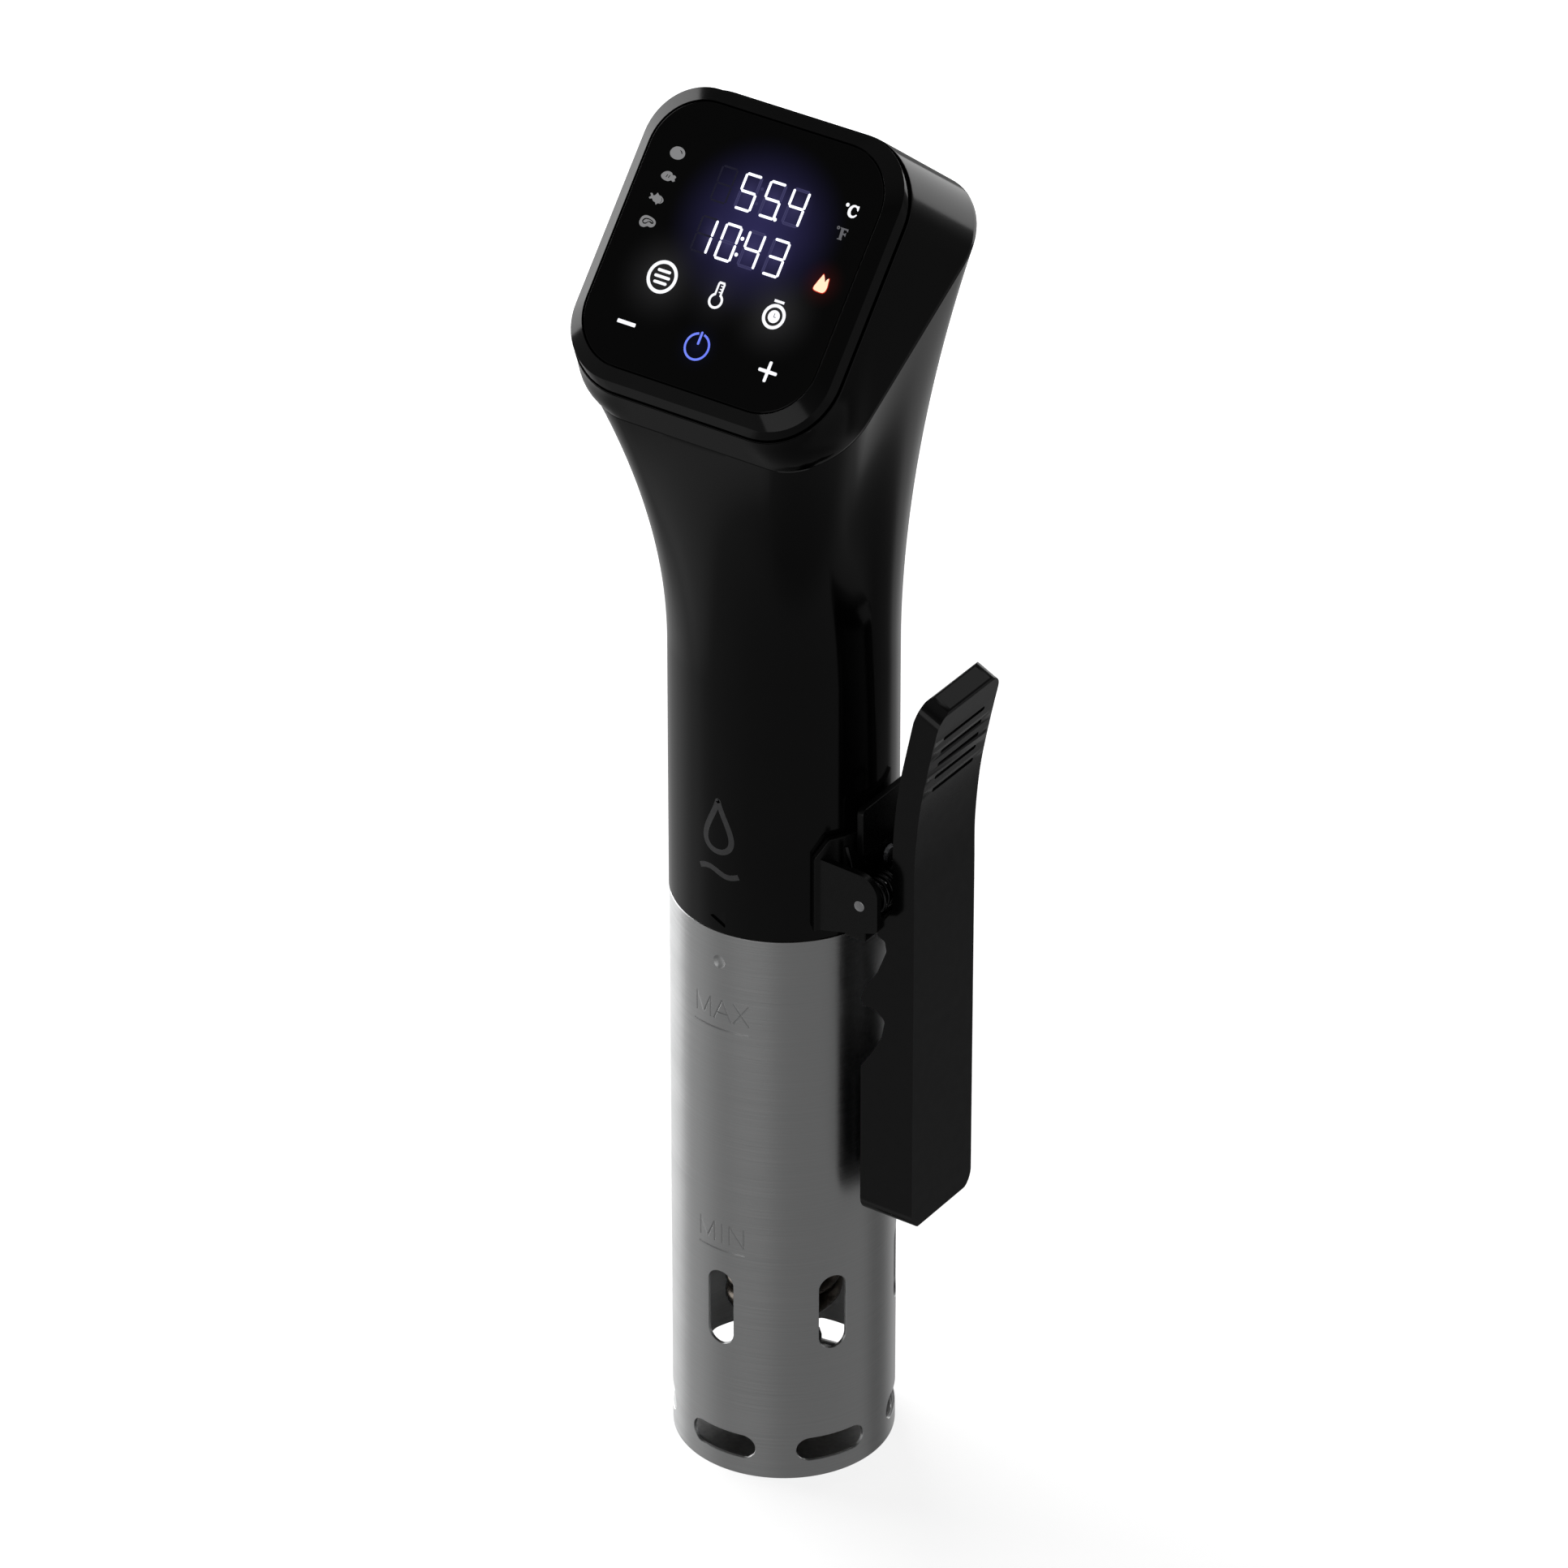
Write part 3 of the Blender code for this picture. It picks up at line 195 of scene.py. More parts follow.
def prism(name, outline, low, high, place):
    return lofted(name, [[place(a, b, c) for a, b in outline] for c in (low, high)])


def block(name, low, high):
    outline = [(low[0], low[1]), (high[0], low[1]), (high[0], high[1]), (low[0], high[1])]
    return prism(name, outline, low[2], high[2], along_z)


def disc(radius, centre, sides=48):
    return [(a, b) for a, b, _ in circle(radius, 0, sides, centre)]


def curved(points, steps=6, closed=True):
    """A smooth curve through points."""
    made = []
    count = len(points)
    for i in range(count if closed else count - 1):
        near = [(i + k) % count if closed else min(count - 1, max(0, i + k)) for k in (-1, 0, 1, 2)]
        p0, p1, p2, p3 = (Vector(points[k]) for k in near)
        for step in range(steps):
            t = step / steps
            bend, turn = 2 * p0 - 5 * p1 + 4 * p2 - p3, 3 * p1 - p0 - 3 * p2 + p3
            made.append(0.5 * (2 * p1 + (p2 - p0) * t + bend * t * t + turn * t**3))
    made = [(p.x, p.y) for p in made]
    return made if closed else [*made, tuple(points[-1])]


def swept(name, path, radius, sides):
    """A round bar along a path, its sections kept from twisting."""
    points = [Vector(p) for p in path]
    rings = []
    side = None
    turns = [2 * math.pi * k / sides for k in range(sides)]
    for i, point in enumerate(points):
        ahead = (points[min(i + 1, len(points) - 1)] - points[max(i - 1, 0)]).normalized()
        if side is None:
            side = Vector((0, 0, 1)) if abs(ahead.z) < 0.7 else Vector((1, 0, 0))
        side = (side - side.dot(ahead) * ahead).normalized()
        other = ahead.cross(side)
        rings.append([point + radius * (math.cos(t) * side + math.sin(t) * other) for t in turns])
    return lofted(name, rings)


def bake(obj):
    """Turns the modifiers into the mesh."""
    graph = bpy.context.evaluated_depsgraph_get()
    mesh = bpy.data.meshes.new_from_object(obj.evaluated_get(graph))
    obj.modifiers.clear()
    old, obj.data = obj.data, mesh
    bpy.data.meshes.remove(old)
    return obj


def boolean(obj, tools, operation="DIFFERENCE"):
    """Cuts or joins with helper solids, which are then removed."""
    for tool in tools:
        modifier = obj.modifiers.new(tool.name, "BOOLEAN")
        modifier.operation = operation
        modifier.solver = "EXACT"
        modifier.object = tool
    bake(obj)
    for tool in tools:
        mesh = tool.data
        bpy.data.objects.remove(tool)
        bpy.data.meshes.remove(mesh)
    return obj


def bevelled(obj, width, segments=3):
    """Rounds the sharp edges, and lets the large faces keep their shading."""
    modifier = obj.modifiers.new("edge", "BEVEL")
    modifier.width = width * MM
    modifier.segments = segments
    modifier.limit_method = "ANGLE"
    modifier.angle_limit = math.radians(35)
    modifier.harden_normals = False
    return soft_shaded(obj)


def smooth(obj, angle=30):
    obj.data.shade_smooth()
    obj.data.set_sharp_from_angle(angle=math.radians(angle))
    return obj


def soft_shaded(obj):
    """Smooth shading in which the large faces win over the narrow ones at their edges."""
    obj.data.shade_smooth()
    obj.modifiers.new("shading", "WEIGHTED_NORMAL").keep_sharp = True
    return bake(obj)


def true_round(obj, radii, low, high):
    """Gives each face that lies on one of these cylinders its exact round shading."""
    mesh = obj.data
    normals = [Vector(corner.vector) for corner in mesh.corner_normals]
    for face in mesh.polygons:
        points = [mesh.vertices[i].co for i in face.vertices]
        if min(p.z for p in points) < low * MM or max(p.z for p in points) > high * MM:
            continue
        spans = [math.hypot(p.x, p.y) / MM for p in points]
        if not any(max(abs(span - radius) for span in spans) < 0.012 for radius in radii):
            continue
        for loop in face.loop_indices:
            point = mesh.vertices[mesh.loops[loop].vertex_index].co
            out = Vector((point.x, point.y, 0)).normalized()
            normals[loop] = out if out.dot(face.normal) > 0 else -out
    mesh.normals_split_custom_set(normals)
    return obj


# Finishes ---------------------------------
def added(tree, kind, inputs=(), **settings):
    """A new node. Each input takes a number, a colour, or the socket that feeds it."""
    node = tree.nodes.new("ShaderNode" + kind)
    for name, value in settings.items():
        setattr(node, name, value)
    for socket, value in dict(inputs).items():
        if isinstance(value, bpy.types.NodeSocket):
            tree.links.new(value, node.inputs[socket])
        else:
            node.inputs[socket].default_value = value
    return node


def ranged(tree, source, low, high, to_low=0.0, to_high=1.0, kind="LINEAR"):
    """A value carried from one range to another."""
    inputs = {"Value": source, "From Min": low, "From Max": high, "To Min": to_low, "To Max": to_high}
    return added(tree, "MapRange", inputs, interpolation_type=kind).outputs["Result"]


def two_tone(tree, source, *stops):
    """A colour that runs between two (place, colour) stops."""
    ramp = added(tree, "ValToRGB", {"Fac": source})
    for element, (position, colour) in zip(ramp.color_ramp.elements, stops):
        element.position = position
        element.color = (*colour, 1)
    return ramp.outputs["Color"]


def node_of(made, kind):
    return next(node for node in made.node_tree.nodes if node.type == kind)


def finish_of(name, dark, light, rough, metal=0.0, scale=90.0, stretch=(1, 1, 1), bump=0.0, **fixed):
    """A procedural finish: noise drives the shade, the roughness and a fine relief. A number is a grey."""
    dark, light = ((c, c, c * 1.02) if isinstance(c, float) else c for c in (dark, light))
    made = bpy.data.materials.new(name)
    made.use_nodes = True
    tree = made.node_tree
    shader = tree.nodes["Principled BSDF"]
    place = added(tree, "TexCoord").outputs["Object"]
    mapping = added(tree, "Mapping", {"Scale": stretch, "Vector": place})
    noise = added(tree, "TexNoise", {"Scale": scale, "Detail": 3.0, "Vector": mapping.outputs["Vector"]})
    level = noise.outputs["Fac"]
    tree.links.new(two_tone(tree, level, (0.3, dark), (0.7, light)), shader.inputs["Base Color"])
    tree.links.new(ranged(tree, level, 0.3, 0.7, *rough), shader.inputs["Roughness"])
    if bump:
        relief = added(tree, "Bump", {"Strength": bump, "Distance": 0.0001, "Height": level})
        tree.links.new(relief.outputs["Normal"], shader.inputs["Normal"])
    shader.inputs["Metallic"].default_value = metal
    for socket, value in fixed.items():
        shader.inputs[socket.replace("_", " ")].default_value = value
    return made


def brushed(name, dark, light, rough, lines, bump=0.25):
    """Metal brushed round its own vertical axis, so its highlights spread upwards and downwards."""
    fixed = {"Anisotropic": 0.7, "Anisotropic_Rotation": 0.25}
    made = finish_of(name, dark, light, rough, 1.0, 1.0, lines, bump, **fixed)
    tree = made.node_tree
    tangent = added(tree, "Tangent", direction_type="RADIAL", axis="Z")
    tree.links.new(tangent.outputs["Tangent"], tree.nodes["Principled BSDF"].inputs["Tangent"])
    return made


def glowing(name, colour, strength=1.0, edge=None):
    """A lit legend: a slightly uneven glow, over a dark base."""
    made = finish_of(name, (0.01, 0.01, 0.01), (0.02, 0.02, 0.02), (0.3, 0.4), Emission_Strength=strength)
    level = node_of(made, "TEX_NOISE").outputs["Fac"]
    tint = two_tone(made.node_tree, level, (0.3, edge or colour), (0.6, colour))
    made.node_tree.links.new(tint, made.node_tree.nodes["Principled BSDF"].inputs["Emission Color"])
    return made


DIGIT_GLOW = (0.0200, 0.0180, 0.0460)
KEY_GLOW = (0.0240, 0.0238, 0.0250)
GLOWS = (
    # across, up, half width, half height, colour, whether it has a flat middle
    (3.0, 8.2, 24.5, 22.8, (0.0225, 0.0200, 0.0770), True),
    (-15.6, -9.8, 13.5, 13.5, KEY_GLOW, False),
    (0.2, -9.6, 11.0, 11.0, (0.0110, 0.0108, 0.0130), False),
    (16.3, -9.6, 13.5, 13.5, KEY_GLOW, False),
    (24.8, 0.4, 7.0, 7.0, (0.0300, 0.0030, 0.0030), False),
    (0.1, -22.6, 7.0, 7.0, (0.0020, 0.0030, 0.0140), False),
    *((across, 15.3, 5.2, 7.0, DIGIT_GLOW, False) for across in (-2.4, 4.4, 11.1)),
    (-7.6, 2.7, 4.0, 7.0, DIGIT_GLOW, False),
    *((across, 2.7, 5.2, 7.0, DIGIT_GLOW, False) for across in (-2.4, 4.2, 11.1)),
)


def touch_glass():
    """Black glass with the soft light that spreads round its lit legends."""
    made = finish_of("touch_glass", 0.0014, 0.0020, (0.035, 0.055), scale=40.0, Emission_Strength=1.0)
    tree = made.node_tree
    place = node_of(made, "TEX_COORD").outputs["Object"]
    total = None
    for across, up, half_wide, half_tall, colour, flat in GLOWS:
        inputs = {"Location": (across * MM, up * MM, 0), "Scale": (half_wide * MM, half_tall * MM, 1)}
        inputs["Vector"] = place
        mapping = added(tree, "Mapping", inputs, vector_type="TEXTURE")
        shape = "SPHERICAL" if flat else "QUADRATIC_SPHERE"
        fall = added(tree, "TexGradient", {"Vector": mapping.outputs["Vector"]}, gradient_type=shape)
        level = fall.outputs["Fac"]
        if flat:
            level = ranged(tree, level, 0, 1, kind="SMOOTHSTEP")
        tint = added(tree, "VectorMath", {0: colour, "Scale": level}, operation="SCALE").outputs["Vector"]
        if total is None:
            total = tint
        else:
            total = added(tree, "VectorMath", {0: total, 1: tint}, operation="ADD").outputs["Vector"]
    tree.links.new(total, tree.nodes["Principled BSDF"].inputs["Emission Color"])
    return made


GLOSS = finish_of("gloss_black", 0.0032, 0.0042, (0.10, 0.13), scale=60.0, bump=0.006, IOR=1.47)
SATIN = finish_of("satin_black", 0.0050, 0.0070, (0.13, 0.17), scale=300.0, bump=0.01)
# The lever's outer face: a rougher grip finish whose base is painted several times lighter than the rest of the black
# lever, as painted light on that face.
GRIP_PAINTED_LIGHT = finish_of("grip_face_painted_light", 0.047, 0.050, (0.22, 0.27), scale=300.0, bump=0.01)
# Painted light: the inside of the lever's hollow is the same black plastic, painted a lighter grey to stand in for the
# light that reaches it.
HOLLOW_PAINTED_LIGHT = finish_of("hollow_painted_light", 0.10, 0.13, (0.5, 0.6), scale=600.0, bump=0.02)
SATIN_TRIM = finish_of("satin_trim", 0.0035, 0.006, (0.26, 0.34), scale=1400.0, bump=0.08)
GLASS = touch_glass()
STEEL = brushed("brushed_tube", (0.92, 0.93, 0.93), (0.985, 0.99, 0.99), (0.34, 0.42), (26, 26, 3400))
# Painted shade: the end cap deep inside the tube is the tube's steel, painted much darker to stand in for the shade it
# sits in.
STEEL_CAP_PAINTED_SHADE = brushed("cap_steel_painted_shade", (0.34, 0.34, 0.34), (0.42, 0.42, 0.42), (0.3, 0.42), (900, 900, 900), 0.15)
COIL = finish_of("heater_steel", (0.10, 0.085, 0.07), (0.17, 0.15, 0.13), (0.2, 0.32), metal=1.0, scale=140.0)
BRIGHT = finish_of("bright_steel", 0.72, 0.82, (0.2, 0.3), metal=1.0, scale=500.0, bump=0.05)
# Painted shade: the spring's steel wire is painted near black, for the shade between the bracket's ears and the lever.
WIRE_PAINTED_SHADE = finish_of("spring_wire_painted_shade", 0.055, 0.09, (0.22, 0.32), metal=1.0, scale=600.0, bump=0.05)
ZINC = finish_of("zinc_plate", (0.42, 0.43, 0.45), (0.56, 0.57, 0.6), (0.3, 0.45), metal=1.0, scale=300.0)
ALUMINIUM = finish_of("aluminium", 0.68, 0.76, (0.3, 0.42), metal=1.0, scale=400.0)
BRONZE = finish_of("bronze", (0.42, 0.27, 0.13), (0.52, 0.35, 0.2), (0.3, 0.45), metal=1.0, scale=400.0)
COPPER = finish_of("copper", (0.55, 0.26, 0.14), (0.68, 0.36, 0.2), (0.25, 0.4), metal=1.0, scale=500.0)
RUBBER = finish_of("rubber", 0.012, 0.02, (0.65, 0.8), scale=900.0, bump=0.2)
BOARD = finish_of("board", (0.008, 0.09, 0.035), (0.014, 0.13, 0.05), (0.35, 0.5), scale=300.0)
WHITE = finish_of("white_plastic", 0.6, 0.7, (0.4, 0.5), scale=200.0)
INNER_BLACK = finish_of("inner_black", 0.012, 0.02, (0.45, 0.6), scale=500.0)
FERRITE = finish_of("ferrite", 0.03, 0.06, (0.55, 0.75), scale=700.0, bump=0.2)
MOULDED = finish_of("moulded_grey", 0.10, 0.14, (0.45, 0.6), scale=500.0, bump=0.05)
PRINT = finish_of("printed_mark", 0.155, 0.185, (0.4, 0.5), scale=900.0)
LIT = glowing("lit_white", (0.95, 0.96, 1.0), 1.05)
LIT_DIGIT = glowing("lit_digit", (0.86, 0.88, 1.0), 1.7)
LIT_BLUE = glowing("lit_blue", (0.16, 0.22, 1.0), 1.0, (0.2, 0.28, 1.0))
LIT_FLAME = glowing("lit_flame", (1.0, 0.76, 0.52), 1.15)
LIT_RIM = glowing("lit_flame_rim", (0.75, 0.03, 0.01), 0.8)
LIT_DIM = glowing("dim_legend", (0.115, 0.115, 0.125))
LIT_GREY = glowing("grey_legend", (0.22, 0.22, 0.225))
UNLIT = glowing("unlit_segment", (0.034, 0.031, 0.096))
UNLIT_EDGE = glowing("unlit_edge", (0.062, 0.058, 0.150))
UNLIT_FAR = glowing("unlit_far_segment", (0.0062, 0.0058, 0.018))


def dress(obj, material, body, replaces=()):
    """Gives a piece its finish, its body and the CAD nodes that it stands for."""
    obj.data.materials.clear()
    obj.data.materials.append(material)
    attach(obj, body)
    if replaces:
        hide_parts(*replaces)
    return obj


# The head's frame ---------------------------------
DISPLAY = Matrix(
    (
        (1, 0, 0, 0),
        (0, math.sin(TILT), -math.cos(TILT), DISPLAY_Y * MM),
        (0, math.cos(TILT), math.sin(TILT), DISPLAY_Z * MM),
        (0, 0, 0, 1),
    )
)


def head_point(across, up, depth):
    """A point given across the display, up along it, and down behind it."""
    y = DISPLAY_Y + up * math.sin(TILT) + depth * math.cos(TILT)
    z = DISPLAY_Z + up * math.cos(TILT) - depth * math.sin(TILT)
    return (across, y, z)


def head_ring(half_a, half_b, corner, depth, lower=0.0, arc=16, flat=20):
    """A rounded square ring parallel to the display, moved down it by lower."""
    return [head_point(a, b, depth) for a, b in rounded(half_a, half_b, corner, arc, flat, (0, -lower))]


def neck_ring(rise, inset=0.0):
    """A ring of the flare: round at rise 0, and the head's sloping foot at rise 1."""
    ring = []
    for x, y in rounded(NECK_HALF[0] - inset, NECK_HALF[1] - inset, NECK_CORNER - inset, 16, 20):
        top = math.hypot(x, y)
        radius = BODY_R - inset + (top - BODY_R + inset) * rise**FLARE_POWER
        z = FLARE_START + rise * (NECK_HEIGHT + NECK_SLOPE * y - FLARE_START)
        ring.append((radius * x / top, radius * y / top, z))
    return ring


def band_ring(foot, rim, share):
    """A ring part of the way from the flare's top to the rim, swollen at the two front corners."""
    ring = []
    for first, last in zip(foot, rim):
        x, y, z = (a + (b - a) * share for a, b in zip(first, last))
        corner = abs(x) * max(0.0, -y) / (NECK_HALF[0] * NECK_HALF[1])
        weight = min(1.0, max(0.0, (corner - 0.5) / 0.36))
        swell = BAND_SWELL * 6.75 * share * (1 - share) ** 2 * weight * weight * (3 - 2 * weight)
        out = 1 + swell / math.hypot(x, y)
        ring.append((x * out, y * out, z))
    return ring


def on_body(ring, radius, z):
    """The points of a ring moved out or in to a radius, at one height."""
    return [(radius * x / math.hypot(x, y), radius * y / math.hypot(x, y), z) for x, y, _ in ring]


# Handle ---------------------------------
GLAND_Z = 262.0
CREASE = 0.2
# The rounded top edge of the shell and the groove inside it, as (inset, drop) pairs.
RIM_EDGE = ((0.0, 0.35), (0.04, 0.12), (0.11, 0.0), (0.18, 0.1), (0.45, 1.3))
PARTING = 0.58
SPIGOT_GAP, SPIGOT_WALL, SPIGOT_END, SHELF_DEPTH, POCKET_DEPTH, POCKET_GAP = 0.8, 1.3, 8.8, 4.7, 2.9, 0.35
SCREW_Z = (168.0, 178.0)


def wrapped(name, outline, low, high):
    """A cutter whose outline is given along and up a round wall at the front, between two radii."""
    rings = [[(r * math.sin(a / high), -r * math.cos(a / high), z) for a, z in outline] for r in (low, high)]
    return lofted(name, rings)


def handle_shell():
    foot = neck_ring(1.0)
    rim = head_ring(*HEAD_HALF, HEAD_CORNER, HEAD_DEPTH, HEAD_LOWER)
    lower_edge = ((0.3, 0.0), (0.09, 0.07), (0.0, 0.28))
    rings = [on_body(foot, BODY_R - drop, BODY_BOTTOM + up) for drop, up in lower_edge]
    rings += [on_body(foot, BODY_R, z) for z in (167.0, 180.0, 195.0, 210.0)]
    rings += [neck_ring(i / 44) for i in range(44)]
    rings += [neck_ring(0.997), neck_ring(1.0, CREASE)]
    shares = (0.017, 0.05, 0.1, *[i / 14 for i in range(2, 14)], 0.97)
    rings += [band_ring(foot, rim, share) for share in shares]
    for inset, depth in (*RIM_EDGE, (BODY_WALL, RIM_EDGE[-1][1])):
        half = (HEAD_HALF[0] - inset, HEAD_HALF[1] - inset)
        rings.append(head_ring(*half, HEAD_CORNER - inset, HEAD_DEPTH + depth, HEAD_LOWER))
    rings += [neck_ring(i / 8, BODY_WALL) for i in range(8, -1, -1)]
    rings.append(on_body(foot, BODY_R - BODY_WALL, BODY_BOTTOM))
    shell = lofted("handle_shell_fine", rings, closed=True)
    cutters = [prism("gland_hole", disc(6.6, (0, GLAND_Z)), 20, 40, along_y)]
    cutters += [prism(f"screw_hole_{z:.0f}", disc(1.6, (0, z), 24), 22, 32, along_x) for z in SCREW_Z]
    arrow = filleted([(-2.62, 163.1, 0.15), (1.95, 160.8, 0.15), (1.95, 165.4, 0.15)], 3)
    cutters.append(wrapped("arrow", arrow, BODY_R - 0.45, BODY_R + 0.5))
    shell.data.shade_smooth()
    boolean(shell, cutters)
    soft_shaded(smooth(shell, 38))
    true_round(shell, (BODY_R,), BODY_BOTTOM + 0.2, FLARE_START + 0.1)
    return dress(shell, GLOSS, "main", ["handle_shell"])


def display_bezel():
    pocket = (GLASS_HALF[0] + POCKET_GAP, GLASS_HALF[1] + POCKET_GAP, GLASS_CORNER + POCKET_GAP)

    def inset(amount, corner_inset=None):
        corner = HEAD_CORNER - (amount if corner_inset is None else corner_inset)
        return (HEAD_HALF[0] - amount, HEAD_HALF[1] - amount, corner)

    spigot, bore = inset(BODY_WALL + SPIGOT_GAP), inset(BODY_WALL + SPIGOT_GAP + SPIGOT_WALL)
    edge = HEAD_DEPTH - 0.4
    profile = [
        (*pocket, 0, 0),
        (*CHAMFER_HALF, CHAMFER_CORNER, CHAMFER_DEPTH, 0),
        (*inset(PARTING), edge - 0.15, HEAD_LOWER),
        (*inset(PARTING + 0.15, PARTING), edge + 0.2, HEAD_LOWER),
        (*spigot, edge + 0.2, HEAD_LOWER),
        (*spigot, SPIGOT_END, HEAD_LOWER),
        (*bore, SPIGOT_END, HEAD_LOWER),
        (*bore, SHELF_DEPTH, HEAD_LOWER),
        (30.0, 31.0, 11.0, SHELF_DEPTH, 0),
        (30.0, 31.0, 11.0, POCKET_DEPTH, 0),
        (*pocket, POCKET_DEPTH, 0),
    ]
    rings = [head_ring(*row) for row in softened(profile, 0.14, 4)]
    bezel = soft_shaded(lofted("display_bezel_fine", rings, closed=True))
    dress(bezel, GLOSS, "main", ["display_bezel"])


def display_glass():
    front, back = 0.15, 1.95
    outline, middle = (*GLASS_HALF, GLASS_CORNER), (5, 5, 4)
    rows = softened([(*middle, front), (*outline, front), (*outline, back), (*middle, back)], 0.3, 4, closed=False)
    rings = [[(a, b, -depth) for a, b in rounded(*half, corner, 16, 20)] for *half, corner, depth in rows]
    glass = lofted("display_glass_fine", rings)
    soft_shaded(glass)
    glass.matrix_world = DISPLAY
    dress(glass, GLASS, "main", ["display_glass"])


# Legends on the glass ---------------------------------
def bar(a, b, c, d, width, steps=6):
    """A straight stroke with round ends, from one point to another."""
    along = Vector((c - a, d - b)).normalized()
    turn = math.atan2(along.y, along.x)
    points = []
    for centre, start in (((c, d), turn - math.pi / 2), ((a, b), turn + math.pi / 2)):
        for i in range(steps + 1):
            angle = start + math.pi * i / steps
            points.append((centre[0] + width / 2 * math.cos(angle), centre[1] + width / 2 * math.sin(angle)))
    return points


def arc(centre, radius, width, start, end, steps=40):
    """A curved stroke, anticlockwise in degrees, with flat ends."""
    turns = [math.radians(start + (end - start) * i / steps) for i in range(steps + 1)]
    points = []
    for reach, order in ((radius + width / 2, turns), (radius - width / 2, turns[::-1])):
        points += [(centre[0] + reach * math.cos(t), centre[1] + reach * math.sin(t)) for t in order]
    return points


def placed(points, across, up, size=1.0):
    return [(across + a * size, up + b * size) for a, b in points]


def legend(name, islands, material, lift=0.0, thick=0.03):
    """Thin inlays on the glass. Each island is an outline, followed by its holes."""
    parts = []
    for number, loops in enumerate(islands):
        curve = bpy.data.curves.new(f"{name}_{number}", "CURVE")
        curve.dimensions = "2D"
        curve.fill_mode = "BOTH"
        curve.extrude = thick / 2 * MM
        for loop in loops:
            spline = curve.splines.new("POLY")
            spline.points.add(len(loop) - 1)
            for point, (a, b) in zip(spline.points, loop):
                point.co = (a * MM, b * MM, 0, 1)
            spline.use_cyclic_u = True
        helper = bpy.data.objects.new(curve.name, curve)
        bpy.context.scene.collection.objects.link(helper)
        parts.append(helper)
    graph = bpy.context.evaluated_depsgraph_get()
    bm = bmesh.new()
    for helper in parts:
        mesh = bpy.data.meshes.new_from_object(helper.evaluated_get(graph))
        bm.from_mesh(mesh)
        bpy.data.meshes.remove(mesh)
        curve = helper.data
        bpy.data.objects.remove(helper)
        bpy.data.curves.remove(curve)
    bmesh.ops.remove_doubles(bm, verts=bm.verts, dist=1e-7)
    bmesh.ops.recalc_face_normals(bm, faces=bm.faces)
    mesh = bpy.data.meshes.new(name)
    bm.to_mesh(mesh)
    bm.free()
    made = bpy.data.objects.new(name, mesh)
    bpy.context.scene.collection.objects.link(made)
    made.matrix_world = DISPLAY @ Matrix.Translation((0, 0, (-0.15 + thick / 2 + lift) * MM))
    return dress(made, material, "main")


# Which of a digit's seven segments are lit: top, upper right, lower right, bottom, lower left, upper left
# and middle.
SEGMENTS = {
    "0": "1111110",
    "1": "0110000",
    "3": "1111001",
    "4": "0110011",
    "5": "1011011",
    " ": "0000000",
}
DIGIT_WIDE, DIGIT_TALL, DIGIT_STROKE = 4.15, 8.5, 0.64
ROWS = (
    (15.35, ((-11.3, " "), (-4.45, "5"), (2.35, "5"), (9.0, "4"))),
    (2.7, ((-11.3, "1"), (-4.5, "0"), (2.1, "4"), (9.0, "3"))),
)


def digit_strokes(left, middle):
    """The seven segments of a digit, as (ends) pairs with small gaps between them."""
    right, top, low = left + DIGIT_WIDE, middle + DIGIT_TALL / 2, middle - DIGIT_TALL / 2
    gap = 0.42
    return [
        (left + gap, top, right - gap, top),
        (right, top - gap, right, middle + gap),
        (right, middle - gap, right, low + gap),
        (left + gap, low, right - gap, low),
        (left, middle - gap, left, low + gap),
        (left, top - gap, left, middle + gap),
        (left + gap, middle, right - gap, middle),
    ]


def digits():
    """Two rows of digits: the lit strokes, and the faint ones, which are fainter still at the far left."""
    lit = []
    faint = {"near": ([], []), "far": ([], [])}
    for middle, places in ROWS:
        for left, digit in places:
            strokes = digit_strokes(left, middle)
            fill, rims = faint["far" if left < -10 else "near"]
            for state, stroke in zip(SEGMENTS[digit], strokes):
                if state == "1":
                    lit.append([bar(*stroke, DIGIT_STROKE)])
                else:
                    fill.append([bar(*stroke, DIGIT_STROKE - 0.14)])
                    rims.append([bar(*stroke, DIGIT_STROKE + 0.06), bar(*stroke, DIGIT_STROKE - 0.1)[::-1]])
    lit += [[disc(0.46, (0.76, 4.58), 20)], [disc(0.46, (0.76, 0.58), 20)], [disc(0.46, (6.95, 11.2), 20)]]
    faint["near"][0].extend([[disc(0.4, (0.76, 17.1), 20)], [disc(0.4, (0.76, 13.4), 20)]])
    legend("digits_lit", lit, LIT_DIGIT, 0.01)
    legend("digits_unlit", faint["near"][0], UNLIT)
    legend("digits_unlit_rims", faint["near"][1], UNLIT_EDGE)
    legend("digits_unlit_far", faint["far"][0], UNLIT_FAR)


